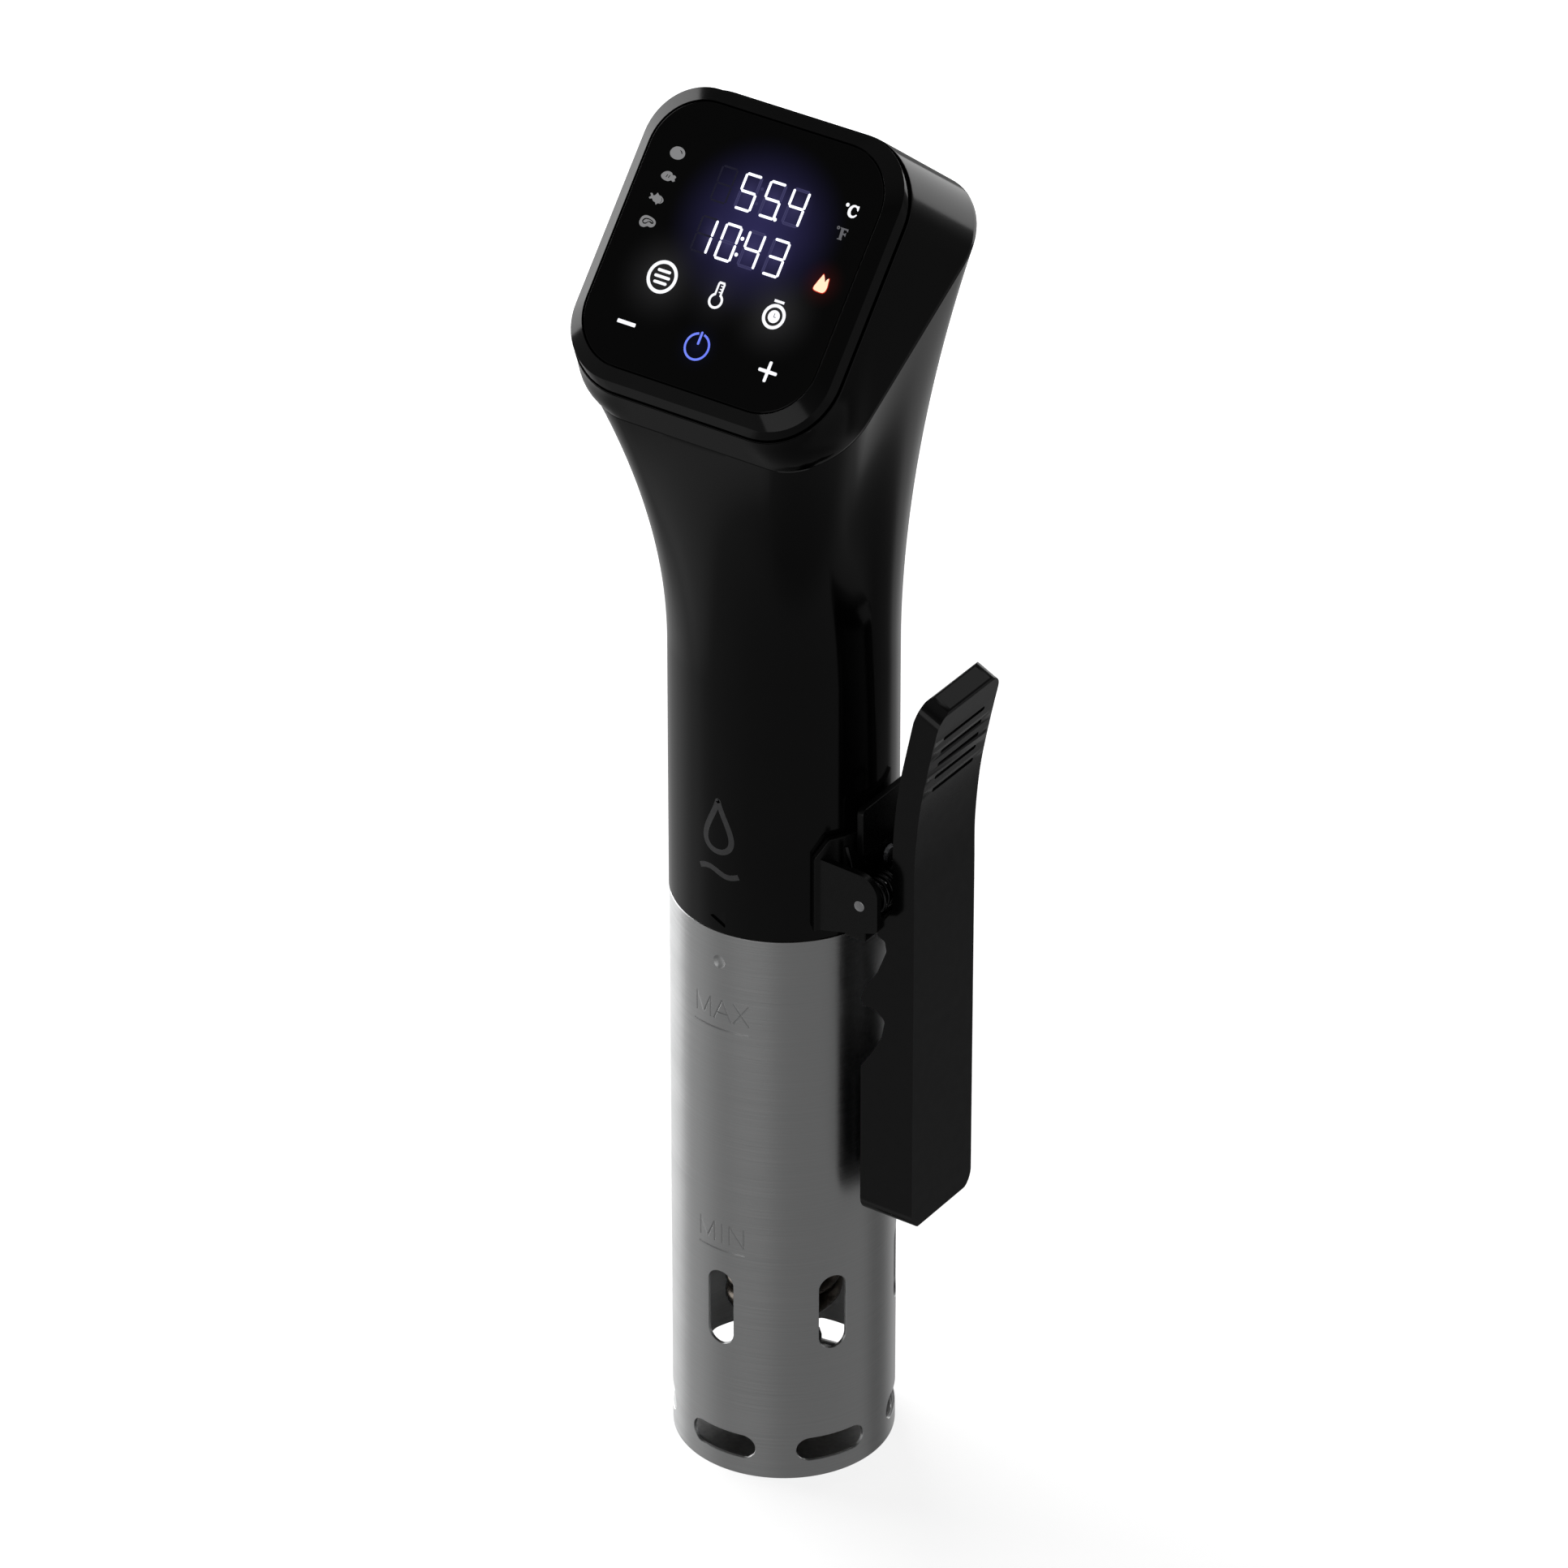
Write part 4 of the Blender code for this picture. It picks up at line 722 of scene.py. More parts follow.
def food_icons():
    """Four plain food pictograms: an egg, a drumstick, a fish and a steak."""
    egg = [(-2.0, -0.3), (-1.75, 0.65), (-0.9, 1.35), (0.3, 1.5), (1.4, 1.1), (2.05, 0.25), (1.95, -0.65)]
    egg += [(1.1, -1.4), (-0.2, -1.6), (-1.4, -1.2)]
    shine = [(0.35, 0.85), (1.0, 0.6), (1.35, 0.05), (1.1, 0.1), (0.8, 0.45)]
    leg = [(-2.05, -0.2), (-1.5, 0.7), (-0.5, 1.15), (0.5, 1.0), (0.95, 0.55), (1.5, 0.6), (2.0, 0.25), (1.8, -0.2)]
    leg += [(2.0, -0.7), (1.5, -0.95), (1.0, -0.75), (0.3, -1.15), (-0.7, -1.15), (-1.6, -0.85)]
    cuts = [bar(-0.35, -0.25, -0.15, 0.35, 0.22, 4), bar(0.3, -0.25, 0.5, 0.35, 0.22, 4)]
    fish = [(-2.1, 0.75), (-1.55, 0.85), (-1.1, 0.45), (-0.6, 0.75), (-0.3, 1.35), (0.25, 0.95), (1.0, 0.8)]
    fish += [(1.75, 0.3), (1.95, -0.25), (1.5, -0.85), (0.7, -1.05), (0.35, -1.45), (0.0, -1.0), (-0.7, -0.8)]
    fish += [(-1.2, -0.35), (-1.75, -0.55), (-2.05, -0.25), (-1.7, 0.2)]
    gill = arc((0.75, -0.15), 0.75, 0.14, -50, 50, 12)
    steak = [(-2.2, 0.1), (-1.9, 1.05), (-1.0, 1.6), (0.3, 1.55), (1.5, 1.2), (2.15, 0.5), (2.0, -0.35), (1.2, -0.85)]
    steak += [(0.3, -0.8), (-0.5, -1.25), (-1.5, -1.2), (-2.1, -0.6)]
    meat = [(-1.55, 0.1), (-1.1, 0.85), (-0.1, 1.05), (1.1, 0.8), (1.6, 0.3), (1.2, 0.0), (0.3, 0.25), (-0.3, -0.35)]
    meat += [(-1.0, -0.45)]
    heart = [(-1.2, 0.05), (-0.8, 0.65), (0.1, 0.8), (1.0, 0.6), (1.2, 0.35), (0.3, 0.5), (-0.4, -0.05), (-0.85, -0.2)]
    islands = [
        [placed(curved(egg), -24.17, 19.1), placed(curved(shine, 3), -24.17, 19.1)],
        [placed(curved(leg), -24.05, 13.2)] + [placed(c, -24.3, 13.15) for c in cuts],
        [placed(curved(fish), -24.85, 7.35), placed(gill, -24.85, 7.35)],
        [placed(curved(steak), -24.75, 1.25), placed(curved(meat), -24.75, 1.25)],
        [placed(curved(heart, 4), -24.75, 1.25)],
    ]
    legend("food_icons", islands, LIT_GREY)


def unit_marks():
    """Degree signs with a C and an F."""
    crescent = [(1.36, 1.51), (1.42, 0.51), (1.18, 0.41), (0.88, 0.92), (0.39, 1.15), (-0.03, 1.03), (-0.33, 0.53)]
    crescent += [(-0.37, -0.12), (-0.19, -0.66), (0.22, -0.95), (0.7, -0.93), (1.25, -0.47), (1.47, -0.61)]
    crescent += [(1.25, -1.01), (0.85, -1.38), (0.26, -1.55), (-0.36, -1.43), (-0.88, -1.03), (-1.14, -0.43)]
    crescent += [(-1.18, 0.32), (-0.87, 1.0), (-0.34, 1.5), (0.26, 1.64), (0.79, 1.52), (1.1, 1.57)]
    stem = [(-1.13, 1.47), (1.0, 1.47), (1.07, 0.81), (0.86, 0.8), (0.68, 1.09), (-0.09, 1.08), (-0.02, 0.26)]
    stem += [(0.49, 0.26), (0.76, 0.6), (0.83, -0.48), (0.44, -0.13), (0.02, -0.12), (0.09, -1.2), (0.31, -1.22)]
    stem += [(0.09, -1.46), (-1.05, -1.45), (-1.03, -1.22), (-0.63, -1.19), (-0.9, 1.19), (-1.14, 1.27)]
    legend("unit_c", [[disc(0.46, (23.6, 19.77), 20)], [placed(curved(crescent, 4), 25.4, 18.6)]], LIT)
    ring = [disc(0.42, (23.56, 14.03), 20), disc(0.16, (23.56, 14.03), 12)]
    legend("unit_f", [ring, [placed(stem, 25.26, 12.82)]], LIT_DIM)


def touch_icons():
    menu = [[disc(4.05, (-15.56, -9.81), 56), disc(3.2, (-15.56, -9.81), 56)]]
    for step, half in ((1.45, 1.5), (0.0, 1.85), (-1.45, 1.5)):
        menu.append([bar(-15.56 - half, -9.81 + step, -15.56 + half, -9.81 + step, 0.72)])
    stem, bulb = 1.0, 1.95
    rim_top, neck = -6.5, -9.35
    outer = [(0.19 + stem, neck)] + [(0.19 + stem, rim_top - 0.5), (0.19 + stem - 0.3, rim_top)]
    outer += [(0.19 - stem + 0.3, rim_top), (0.19 - stem, rim_top - 0.5), (0.19 - stem, neck)]
    start = math.degrees(math.acos(stem / bulb))
    outer += [
        (0.19 + bulb * math.cos(t), -11.2 + bulb * math.sin(t))
        for t in (math.radians(180 - start + (180 + 2 * start) * i / 36) for i in range(37))
    ]
    thin, core = 0.5, 1.35
    inner_start = math.degrees(math.acos(thin / core))
    inner = [(0.19 + thin, rim_top - 0.55), (0.19 - thin, rim_top - 0.55)]
    inner += [
        (0.19 + core * math.cos(t), -11.2 + core * math.sin(t))
        for t in (math.radians(180 - inner_start + (180 + 2 * inner_start) * i / 32) for i in range(33))
    ]
    thermometer = [[outer, inner]]
    thermometer += [[bar(0.25, z, 0.7, z, 0.26, 3)] for z in (-7.55, -8.3, -9.05)]
    timer = [
        [disc(3.05, (16.3, -10.45), 56), disc(2.25, (16.3, -10.45), 56)],
        [disc(1.55, (16.3, -10.45), 40)],
        [placed([(-1.35, -0.32), (1.35, -0.32), (1.35, 0.32), (-1.35, 0.32)], 16.25, -6.75)],
    ]
    hands = [bar(16.3, -10.4, 16.3, -9.7, 0.16, 3), bar(16.3, -10.55, 16.8, -10.55, 0.16, 3)]
    keys = [[rounded(2.55, 0.46, 0.2, 4, 1, (-19.95, -22.7))]]
    cross = []
    for quarter in range(4):
        turn = math.radians(90 * quarter)
        for a, b in ((2.35, -0.4), (2.55, -0.2), (2.55, 0.2), (2.35, 0.4), (0.42, 0.42)):
            cross.append((a * math.cos(turn) - b * math.sin(turn), a * math.sin(turn) + b * math.cos(turn)))
    keys.append([placed(cross, 20.2, -23.1)])
    legend("menu_icon", menu, LIT)
    legend("thermometer_icon", thermometer, LIT)
    legend("timer_icon", timer, LIT)
    legend("timer_hands", [[hand] for hand in hands], LIT_DIM, 0.02)
    legend("plus_minus_icons", keys, LIT)
    power = [[arc((0.1, -22.75), 3.15, 0.54, 103, 437, 60)], [bar(0.1, -19.3, 0.1, -22.0, 0.6)]]
    legend("power_icon", power, LIT_BLUE)
    flame = [(-0.33, 2.41), (-0.62, 1.65), (-0.95, 0.9), (-1.3, -0.1), (-1.62, -1.1), (-1.4, -1.75), (-0.1, -1.98)]
    flame += [(1.2, -1.93), (1.8, -1.3), (1.92, -0.25), (1.75, 0.8), (1.58, 1.75), (1.15, 1.55), (0.85, 0.75)]
    flame += [(0.45, 1.45), (0.0, 2.2)]
    legend("flame_rim", [[placed(curved(flame, 4), 24.8, 0.2, 1.05)]], LIT_RIM)
    legend("flame_icon", [[placed(curved(flame, 4), 24.8, 0.2, 0.95)]], LIT_FLAME, 0.02)


# Marks on the handle ---------------------------------
def ribbon(name, path, width, radius, closed=True, thick=0.05):
    """A flat inlay that follows a path along and up the round handle's front."""
    count = len(path)
    rings = []
    for i, (a, z) in enumerate(path):
        before, after = path[i - 1], path[(i + 1) % count]
        if not closed:
            before, after = path[max(i - 1, 0)], path[min(i + 1, count - 1)]
        along = Vector((after[0] - before[0], after[1] - before[1])).normalized()
        side = Vector((-along.y, along.x)) * width / 2
        ring = []
        for sign, lift in ((1, thick), (-1, thick), (-1, -0.1), (1, -0.1)):
            turn = (a + sign * side.x) / radius
            reach = radius + lift
            ring.append((reach * math.sin(turn), -reach * math.cos(turn), z + sign * side.y))
        rings.append(ring)
    return smooth(lofted(name, rings, closed), 40)


def drop_mark():
    """A plain water drop over a wave: a generic mark on the handle's front."""
    drop = []
    for i in range(72):
        t = 2 * math.pi * i / 72
        pull = (0.5 + 0.5 * math.cos(t)) ** 1.7
        up = 187.2 - 5.2 * math.cos(math.pi - t) + 4.0 * pull**1.3
        drop.append((4.6 * math.sin(t) * (1 - 0.93 * pull), up))
    dress(ribbon("drop_mark", drop, 1.5, BODY_R), PRINT, "main")
    wave = [(-5.6 + 11.2 * i / 40, 176.3 + 0.8 * math.sin(2 * math.pi * i / 40)) for i in range(41)]
    dress(ribbon("wave_mark", wave, 1.5, BODY_R, closed=False), PRINT, "main")


# Skirt ---------------------------------
SLOT_TALL = (7.4, 38.0, 59.5)
SLOT_FLAT = (18.6, 5.0, 11.8)
SLOT_COUNT = 6
DIMPLE_Z = 150.4


def slot_cutter(name, width, low, high, degrees):
    """A round-ended cutter that follows the tube, and eases the slot's outer edge."""
    half_wide, half_tall = width / 2, (high - low) / 2
    corner = min(half_wide, half_tall) - 0.01
    rings = []
    for out, grow in ((-4, 0.0), (-0.16, 0.0), (-0.05, 0.05), (0.25, 0.36)):
        reach = SKIRT_R + out
        outline = rounded(half_wide + grow, half_tall + grow, corner + grow, 12, 24, (0, (low + high) / 2))
        ring = []
        for a, z in outline:
            turn = math.radians(degrees) + math.asin(max(-1, min(1, a / SKIRT_R)))
            ring.append((reach * math.cos(turn), reach * math.sin(turn), z))
        rings.append(ring)
    return lofted(name, rings)


# The letters' strokes, each a chain of (along, up) points in a box 1 wide and 1 tall.
LETTERS = {
    "M": [[(0, 0), (0, 1)], [(0, 1), (0.5, 0.08)], [(0.5, 0.08), (1, 1)], [(1, 1), (1, 0)]],
    "A": [[(0, 0), (0.5, 1)], [(0.5, 1), (1, 0)], [(0.2, 0.36), (0.8, 0.36)]],
    "X": [[(0, 0), (1, 1)], [(0, 1), (1, 0)]],
    "I": [[(0, 0), (0, 1)]],
    "N": [[(0, 0), (0, 1)], [(0, 1), (1, 0)], [(1, 0), (1, 1)]],
}


def groove(name, start, end, width=0.52, depth=0.2):
    """A shallow V cutter on the tube's front, between two (along, up) points."""
    length = math.dist(start, end)
    along = Vector((end[0] - start[0], end[1] - start[1])) / length
    side = Vector((-along.y, along.x))
    steps = max(1, round(length / 0.5))
    wide = width * 0.75
    rings = []
    for i in range(steps + 1):
        share = i / steps
        middle = Vector(start) + along * (length * share)
        ring = []
        for aside, reach in ((wide, SKIRT_R + depth / 2), (-wide, SKIRT_R + depth / 2), (0, SKIRT_R - depth)):
            point = middle + side * aside
            turn = point.x / SKIRT_R
            ring.append((reach * math.sin(turn), -reach * math.cos(turn), point.y))
        rings.append(ring)
    return lofted(name, rings)


def level_marks():
    """Cutters for the MAX and MIN legends with their lines."""
    words = (
        ("MAX", 133.7, 5.8, (("M", -7.2, 4.6), ("A", -1.6, 4.9), ("X", 4.0, 4.1)), 131.1, 8.1),
        ("MIN", 68.1, 5.7, (("M", -6.3, 4.6), ("I", 0.6, 0), ("N", 2.7, 3.9)), 66.0, 6.85),
    )
    cutters = []
    for word, low, tall, letters, line, reach in words:
        for letter, left, wide in letters:
            for number, ((a, b), (c, d)) in enumerate(LETTERS[letter]):
                start = (left + a * wide, low + b * tall)
                end = (left + c * wide, low + d * tall)
                cutters.append(groove(f"{word}_{letter}_{number}", start, end))
        cutters.append(groove(f"{word}_line", (-reach, line), (reach, line), 0.6))
    return cutters


def skirt_tube():
    inner = SKIRT_R - SKIRT_WALL
    profile = [(SKIRT_R, SKIRT_TOP), (SKIRT_R, 0), (inner, 0), (inner, SKIRT_TOP)]
    tube = turned("skirt_tube_fine", profile, 288, ease=0.22)
    cutters = []
    for number in range(SLOT_COUNT):
        degrees = 270 + number * 360 / SLOT_COUNT
        cutters.append(slot_cutter(f"tall_slot_{number}", *SLOT_TALL, degrees))
        cutters.append(slot_cutter(f"flat_slot_{number}", *SLOT_FLAT, degrees))
    cutters += level_marks()
    ball, depth = 3.6, 0.5
    rings = []
    for i in range(1, 24):
        angle = math.pi * i / 24
        y = -(SKIRT_R - depth + ball + ball * math.cos(angle))
        rings.append([(a, y, b) for a, b in disc(ball * math.sin(angle), (0, DIMPLE_Z))])
    cutters.append(lofted("dimple", rings))
    boolean(tube, cutters)
    smooth(tube, 24)
    true_round(tube, (SKIRT_R, inner), 0.2, SKIRT_TOP - 0.2)
    dress(tube, STEEL, "skirt", ["skirt_tube"])
    cap_r = inner - 0.35
    profile = [(0.5, 1.4), (cap_r - 1.2, 1.4), (cap_r - 1.2, 4.4), (cap_r, 4.4), (cap_r, 0), (0.5, 0)]
    cap = turned("skirt_cap_fine", profile)
    # The cap's darker steel is painted shade.
    dress(soft_shaded(cap), STEEL_CAP_PAINTED_SHADE, "skirt", ["skirt_end_cap"])


# Heater ---------------------------------
COIL_R, COIL_TUBE_R, COIL_PITCH, COIL_TURNS, COIL_BOTTOM = 10.95, 2.3, 5.2, 7, 38.5
# The coil's turns are a little wider than the circle of its two upright legs.
TURN_R = 12.5
LEG_LOW, LEG_HIGH, LEG_TOP = 215.0, 325.0, 171.0


def heater_path():
    """From one end through the coil to the other, as in the CAD but with more steps."""
    bend, inner, inward, bend_turn = 4.0, 5.6, 150.0, 42.0
    straight_end, inward_drop, bend_out = 104.0, 22.0, 0.6
    start_angle = LEG_LOW - inward

    def at(radius, degrees, height):
        path.append((*around(radius, degrees), height))

    def eased(share):
        return share * share * (3 - 2 * share)

    path = []
    at(COIL_R, LEG_LOW, LEG_TOP)
    at(COIL_R, LEG_LOW, straight_end)
    for i in range(1, 16):
        share = i / 16
        swing = LEG_LOW + (start_angle - LEG_LOW) * eased(share)
        at(COIL_R + (inner - COIL_R) * eased(share), swing, straight_end - inward_drop * share)
    at(inner, start_angle, straight_end - inward_drop - 2.0)
    at(inner, start_angle, COIL_BOTTOM + bend)
    for i in range(1, 9):
        turn = math.radians(90 * i / 8)
        out = 1 - math.cos(turn)
        at(inner + bend_out * out, start_angle + bend_turn * out, COIL_BOTTOM + bend * (1 - math.sin(turn)))
    inner += bend_out
    for i in range(1, 12):
        share = i / 12
        swing = start_angle + bend_turn + (LEG_LOW - start_angle - bend_turn) * share
        at(inner + (TURN_R - inner) * eased(share), swing, COIL_BOTTOM)
    whole = COIL_TURNS * 360 + (LEG_HIGH - LEG_LOW)
    climb = COIL_PITCH * whole / 360
    count = round(whole / 360 * 40)
    for i in range(count + 1):
        at(TURN_R, LEG_LOW + whole * i / count, COIL_BOTTOM + climb * i / count)
    top, last = COIL_BOTTOM + climb, LEG_LOW + whole
    swing_out = math.degrees(bend / TURN_R)
    for i in range(1, 9):
        turn = math.radians(90 * i / 8)
        at(TURN_R, last + swing_out * math.sin(turn), top + bend * (1 - math.cos(turn)))
    at(COIL_R, last + swing_out, top + 20)
    at(COIL_R, LEG_HIGH, top + 40)
    at(COIL_R, LEG_HIGH, LEG_TOP)
    return path


def heater():
    coil = smooth(swept("heater_coil_fine", heater_path(), COIL_TUBE_R, 16), 60)
    dress(coil, COIL, "main", ["heater_coil"])


# Clamp ---------------------------------
EAR_LOW, EAR_TOP, SHOULDER_TOP, SADDLE_HALF, SHOULDER = 163.0, 183.4, 188.3, 42.0, 34.5


def clamp_bracket():
    rings = []
    sections = 84
    for i in range(sections + 1):
        degrees = -SADDLE_HALF + 2 * SADDLE_HALF * i / sections
        drop = max(0.0, abs(degrees) - SHOULDER) / (SADDLE_HALF - SHOULDER)
        top = SHOULDER_TOP - drop * (SHOULDER_TOP - EAR_TOP)
        corners = ((SADDLE_IN, EAR_LOW), (SADDLE_OUT, EAR_LOW), (SADDLE_OUT, top), (SADDLE_IN, top))
        rings.append([(*around(radius, degrees), z) for radius, z in softened(corners, 0.3)])
    saddle = soft_shaded(lofted("bracket_saddle", rings))
    dress(saddle, SATIN_TRIM, "main", ["clamp_bracket"])
    tab = prism("bracket_tab", rounded(11.5, 6.6, 1.5, 8, 1, (0, 188.8)), 28.9, 30.9, along_x)
    web = block("bracket_web", (29.6, -EAR_IN - 0.2, 163.2), (35.6, EAR_IN + 0.2, 166.9))
    for piece, round_edge in ((tab, 0.35), (web, 0.3)):
        dress(bevelled(piece, round_edge), SATIN_TRIM, "main")
    ear = [(22.9, 163.1, 0), (30.6, 165.0, 3), (40.0, 168.0, 1.6), (40.0, 182.6, 5.5), (22.9, 183.3, 0)]
    for side, name in ((-1, "bracket_ear_front"), (1, "bracket_ear_back")):
        low, high = sorted((side * EAR_IN, side * EAR_OUT))
        piece = prism(name, filleted(ear), low, high, along_y)
        boolean(piece, [prism("ear_bore", disc(PIN_R + 0.06, (PIN_X, PIN_Z)), -25, 25, along_y)])
        dress(bevelled(piece, 0.25), SATIN_TRIM, "main")


def clamp_pin():
    profile = [(0.2, -EAR_OUT - 0.1), (PIN_R, -EAR_OUT - 0.1), (PIN_R, EAR_OUT + 0.3), (2.6, EAR_OUT + 0.3)]
    profile += [(2.6, EAR_OUT + 1.3), (0.2, EAR_OUT + 1.3)]
    rings = []
    for radius, y in softened(profile, 0.22, closed=False):
        rings.append([(a, y, b) for a, b in disc(radius, (PIN_X, PIN_Z))])
    dress(soft_shaded(lofted("clamp_pin_fine", rings)), BRIGHT, "main", ["clamp_pin"])


# The lever's outer face in X and Z, from where it leaves the upright up to its top end.
FACE = [(LEVER_FACE, 176.0), (LEVER_FACE, 186.0), (47.5, 196.0), (48.45, 203.8), (50.0, 212.2)]
FACE += [(51.85, 221.0), (54.0, 230.4)]
# How fast the lever's top end rises towards the handle.
END_SLOPE = 2.6 / 5.4


def lever_outline():
    """The lever's side view in X and Z, anticlockwise from the foot of the outer face."""
    face = curved(FACE, closed=False)
    inner = [(46.2, 226.8), (43.6, 214.5), (42.2, 207.0), (41.2, 199.0), (40.6, 191.0), (40.5, 184.0)]
    back = curved(inner, closed=False)
    corners = [(LEVER_FACE, LEVER_LOW, 0.8)] + [(x, z, 0) for x, z in face[:-1]] + [(*FACE[-1], 1.0)]
    corners += [(48.6, 233.0, 1.0)] + [(x, z, 0) for x, z in back]
    corners += [(40.5, 171.3, 1.5), (36.2, 165.5, 0.8), (36.2, 163.0, 0.6)]
    corners += [(38.4, 162.3, 0.8), (38.9, 159.4, 1.5), (36.3, 152.6, 4), (32.7, 146.9, 2), (31.5, 143.6, 0.6)]
    corners += [(32.2, 141.9, 0.5), (35.6, 141.6, 1), (38.6, 139.4, 1.5), (37.6, 134.2, 3), (34.7, 128.8, 4)]
    corners += [(31.6, 124.0, 2), (31.6, LEVER_LOW, 2.2)]
    return filleted(corners, 6)


def face_at(z):
    """How far out the lever's outer face is at a height."""
    face = curved(FACE, closed=False)
    if z <= face[0][1]:
        return LEVER_FACE
    for (x0, z0), (x1, z1) in zip(face, face[1:]):
        if z <= z1:
            return x0 + (x1 - x0) * (z - z0) / (z1 - z0)
    return FACE[-1][0]


def grip_groove(number, z):
    """A round-ended cutter across the lever's outer face."""
    reach, shift, deep, wide = 8.3, -0.15, 1.1, 1.15
    outline = bar(shift - reach, z, shift + reach, z, wide)
    return prism(f"grip_{number}", outline, face_at(z) - deep, face_at(z) + 3, along_x)


def clamp_lever():
    lever = prism("clamp_lever_fine", lever_outline(), -LEVER_HALF, LEVER_HALF, along_y)
    end_x, end_z = FACE[-1]
    middle = (LEVER_LOW + end_z) / 2
    outline = rounded(LEVER_HALF, end_z - middle, 5.0, 10, 1, (0, middle))
    frame_rings = []
    for x in (25, 60):
        frame_rings.append([(x, y, z + (end_x - x) * END_SLOPE if z > middle else z) for y, z in outline])
    boolean(lever, [lofted("lever_frame", frame_rings)], "INTERSECT")
    bevelled(lever, 0.75, 4)
    wide = LEVER_HALF - LEVER_WALL
    hollow = [(44.8, 82.4), (44.8, 178)]
    hollow += [(x - 1.9, z) for x, z in curved(FACE, closed=False) if 180 < z < 226]
    hollow += [(50.9, 227.6), (40, 230), (25, 200), (25, 82.4)]
    cutters = [prism("lever_hollow", hollow, -wide, wide, along_y)]
    cutters += [grip_groove(number, 221.9 - 3.86 * number) for number in range(5)]
    cutters.append(block("lever_slit", (35.0, -10.9, 79.0), (43.0, -10.3, 81.6)))
    boolean(lever, cutters)
    smooth(lever, 32)
    dress(lever, SATIN, "lever", ["clamp_lever"])
    # The outer face gets the grip finish, whose lighter base is painted light.
    lever.data.materials.append(GRIP_PAINTED_LIGHT)
    # The faces inside the hollow get the lighter grey, which is painted light.
    lever.data.materials.append(HOLLOW_PAINTED_LIGHT)
    for face in lever.data.polygons:
        x, y, z = face.center / MM
        if face.normal.x > 0.93 and x > face_at(z) - 0.3:
            face.material_index = 1
        elif abs(y) < wide + 0.05 and x < face_at(z) - 1 and LEVER_LOW + 1 < z < 228:
            face.material_index = 2
    low, high = PIN_Z - 3.3, PIN_Z + 3.3
    outline = [(31.9, low, 3.2), (45.2, low, 0), (45.2, high, 0), (31.9, high, 3.2)]
    barrel = prism("lever_barrel", filleted(outline), -5.2, 5.2, along_y)
    boolean(barrel, [prism("lever_bore", disc(PIN_R + 0.06, (PIN_X, PIN_Z)), -8, 8, along_y)])
    dress(bevelled(barrel, 0.25), SATIN, "lever")
    jaw = block("lever_jaw", (32.7, -7.0, 88.0), (45.2, 7.0, 115.0))
    dress(bevelled(jaw, 0.4), SATIN, "lever")


def clamp_spring():
    """A double torsion spring: two coils on the pin, joined by a bridge that pushes the lever."""
    turns, steps, coil_r, wire_r = 4, 32, 3.85, 0.6
    near, far = 6.4, 14.6
    half = [(28.2, far, PIN_Z + 12.4), (PIN_X - coil_r, far, PIN_Z + 1.0)]
    count = turns * steps + steps // 2
    for i in range(count + 1):
        angle = math.pi + 2 * math.pi * i / steps
        y = far + (near - far) * i / count
        half.append((PIN_X + coil_r * math.cos(angle), y, PIN_Z + coil_r * math.sin(angle)))
    half.append((PIN_X + coil_r + 0.5, near, PIN_Z + 3.0))
    half += [(43.4, near, PIN_Z + 16.5), (44.0, near - 1.2, PIN_Z + 18)]
    path = half + [(x, -y, z) for x, y, z in reversed(half)]
    spring = smooth(swept("clamp_spring_fine", path, wire_r, 12), 60)
    # The spring's near-black wire is painted shade.
    spring.data.materials.append(WIRE_PAINTED_SHADE)
    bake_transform(spring)
    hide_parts("clamp_spring")


# Cord entry ---------------------------------
def cord_gland():
    """A flanged rubber bush in the back wall. Its bore is the way in for a power cord."""
    rise = (GLAND_Z + 7 - FLARE_START) / (NECK_HEIGHT + NECK_SLOPE * NECK_HALF[1] - FLARE_START)
    wall = BODY_R + (NECK_HALF[1] - BODY_R) * rise**FLARE_POWER + 0.5
    profile = [(8.0, wall + 3.5), (8.0, wall), (6.3, wall), (6.3, 21.0), (3.6, 21.0), (3.6, wall + 3.5)]
    rings = []
    for radius, y in softened(profile, 0.7, 5):
        rings.append([(a, y, b) for a, b in disc(radius, (0, GLAND_Z), 72)])
    gland = soft_shaded(lofted("cord_gland_fine", rings, closed=True))
    dress(gland, RUBBER, "main", ["cord_gland"])


# Pieces that keep their CAD shape ---------------------------------
KEPT = {
    "glass_gasket": RUBBER, "bulkhead_seal": RUBBER, "shaft_seal": RUBBER, "shaft_coupling": RUBBER,
    "clamp_pad": RUBBER, "display_board": BOARD, "power_board": BOARD, "led_display": WHITE, "relay": WHITE,
    "buzzer": INNER_BLACK, "triac": INNER_BLACK, "gland_nut": INNER_BLACK, "skirt_collar": INNER_BLACK,
    "transformer": FERRITE, "motor_magnets": FERRITE, "capacitor": MOULDED, "motor_end_cap": MOULDED,
    "bulkhead": MOULDED, "cooling_fan": MOULDED, "impeller": MOULDED, "heat_sink": ALUMINIUM,
    "lower_bearing": BRONZE, "upper_bearing": BRONZE, "motor_rotor": COPPER, "motor_shaft": BRIGHT,
    "drive_shaft": BRIGHT, "temperature_probe": BRIGHT, "level_probe_1": BRIGHT, "level_probe_2": BRIGHT,
}


def keep_cad():
    """Procedural finishes on every CAD piece, with small rounded edges."""
    for name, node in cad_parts.items():
        node.data.materials.clear()
        node.data.materials.append(KEPT.get(name, ZINC))
        if node.hide_render:
            continue
        weld = node.modifiers.new("weld", "WELD")
        weld.merge_threshold = 0.005 * MM
        edge = node.modifiers.new("edge", "BEVEL")
        edge.width = 0.12 * MM
        edge.segments = 2
        edge.limit_method = "ANGLE"
        edge.angle_limit = math.radians(40)


# Studio ---------------------------------
CAMERA_TURN, CAMERA_RISE, CAMERA_AWAY, CAMERA_AIM = 34.3, 31.64, 2394.5, 186.8


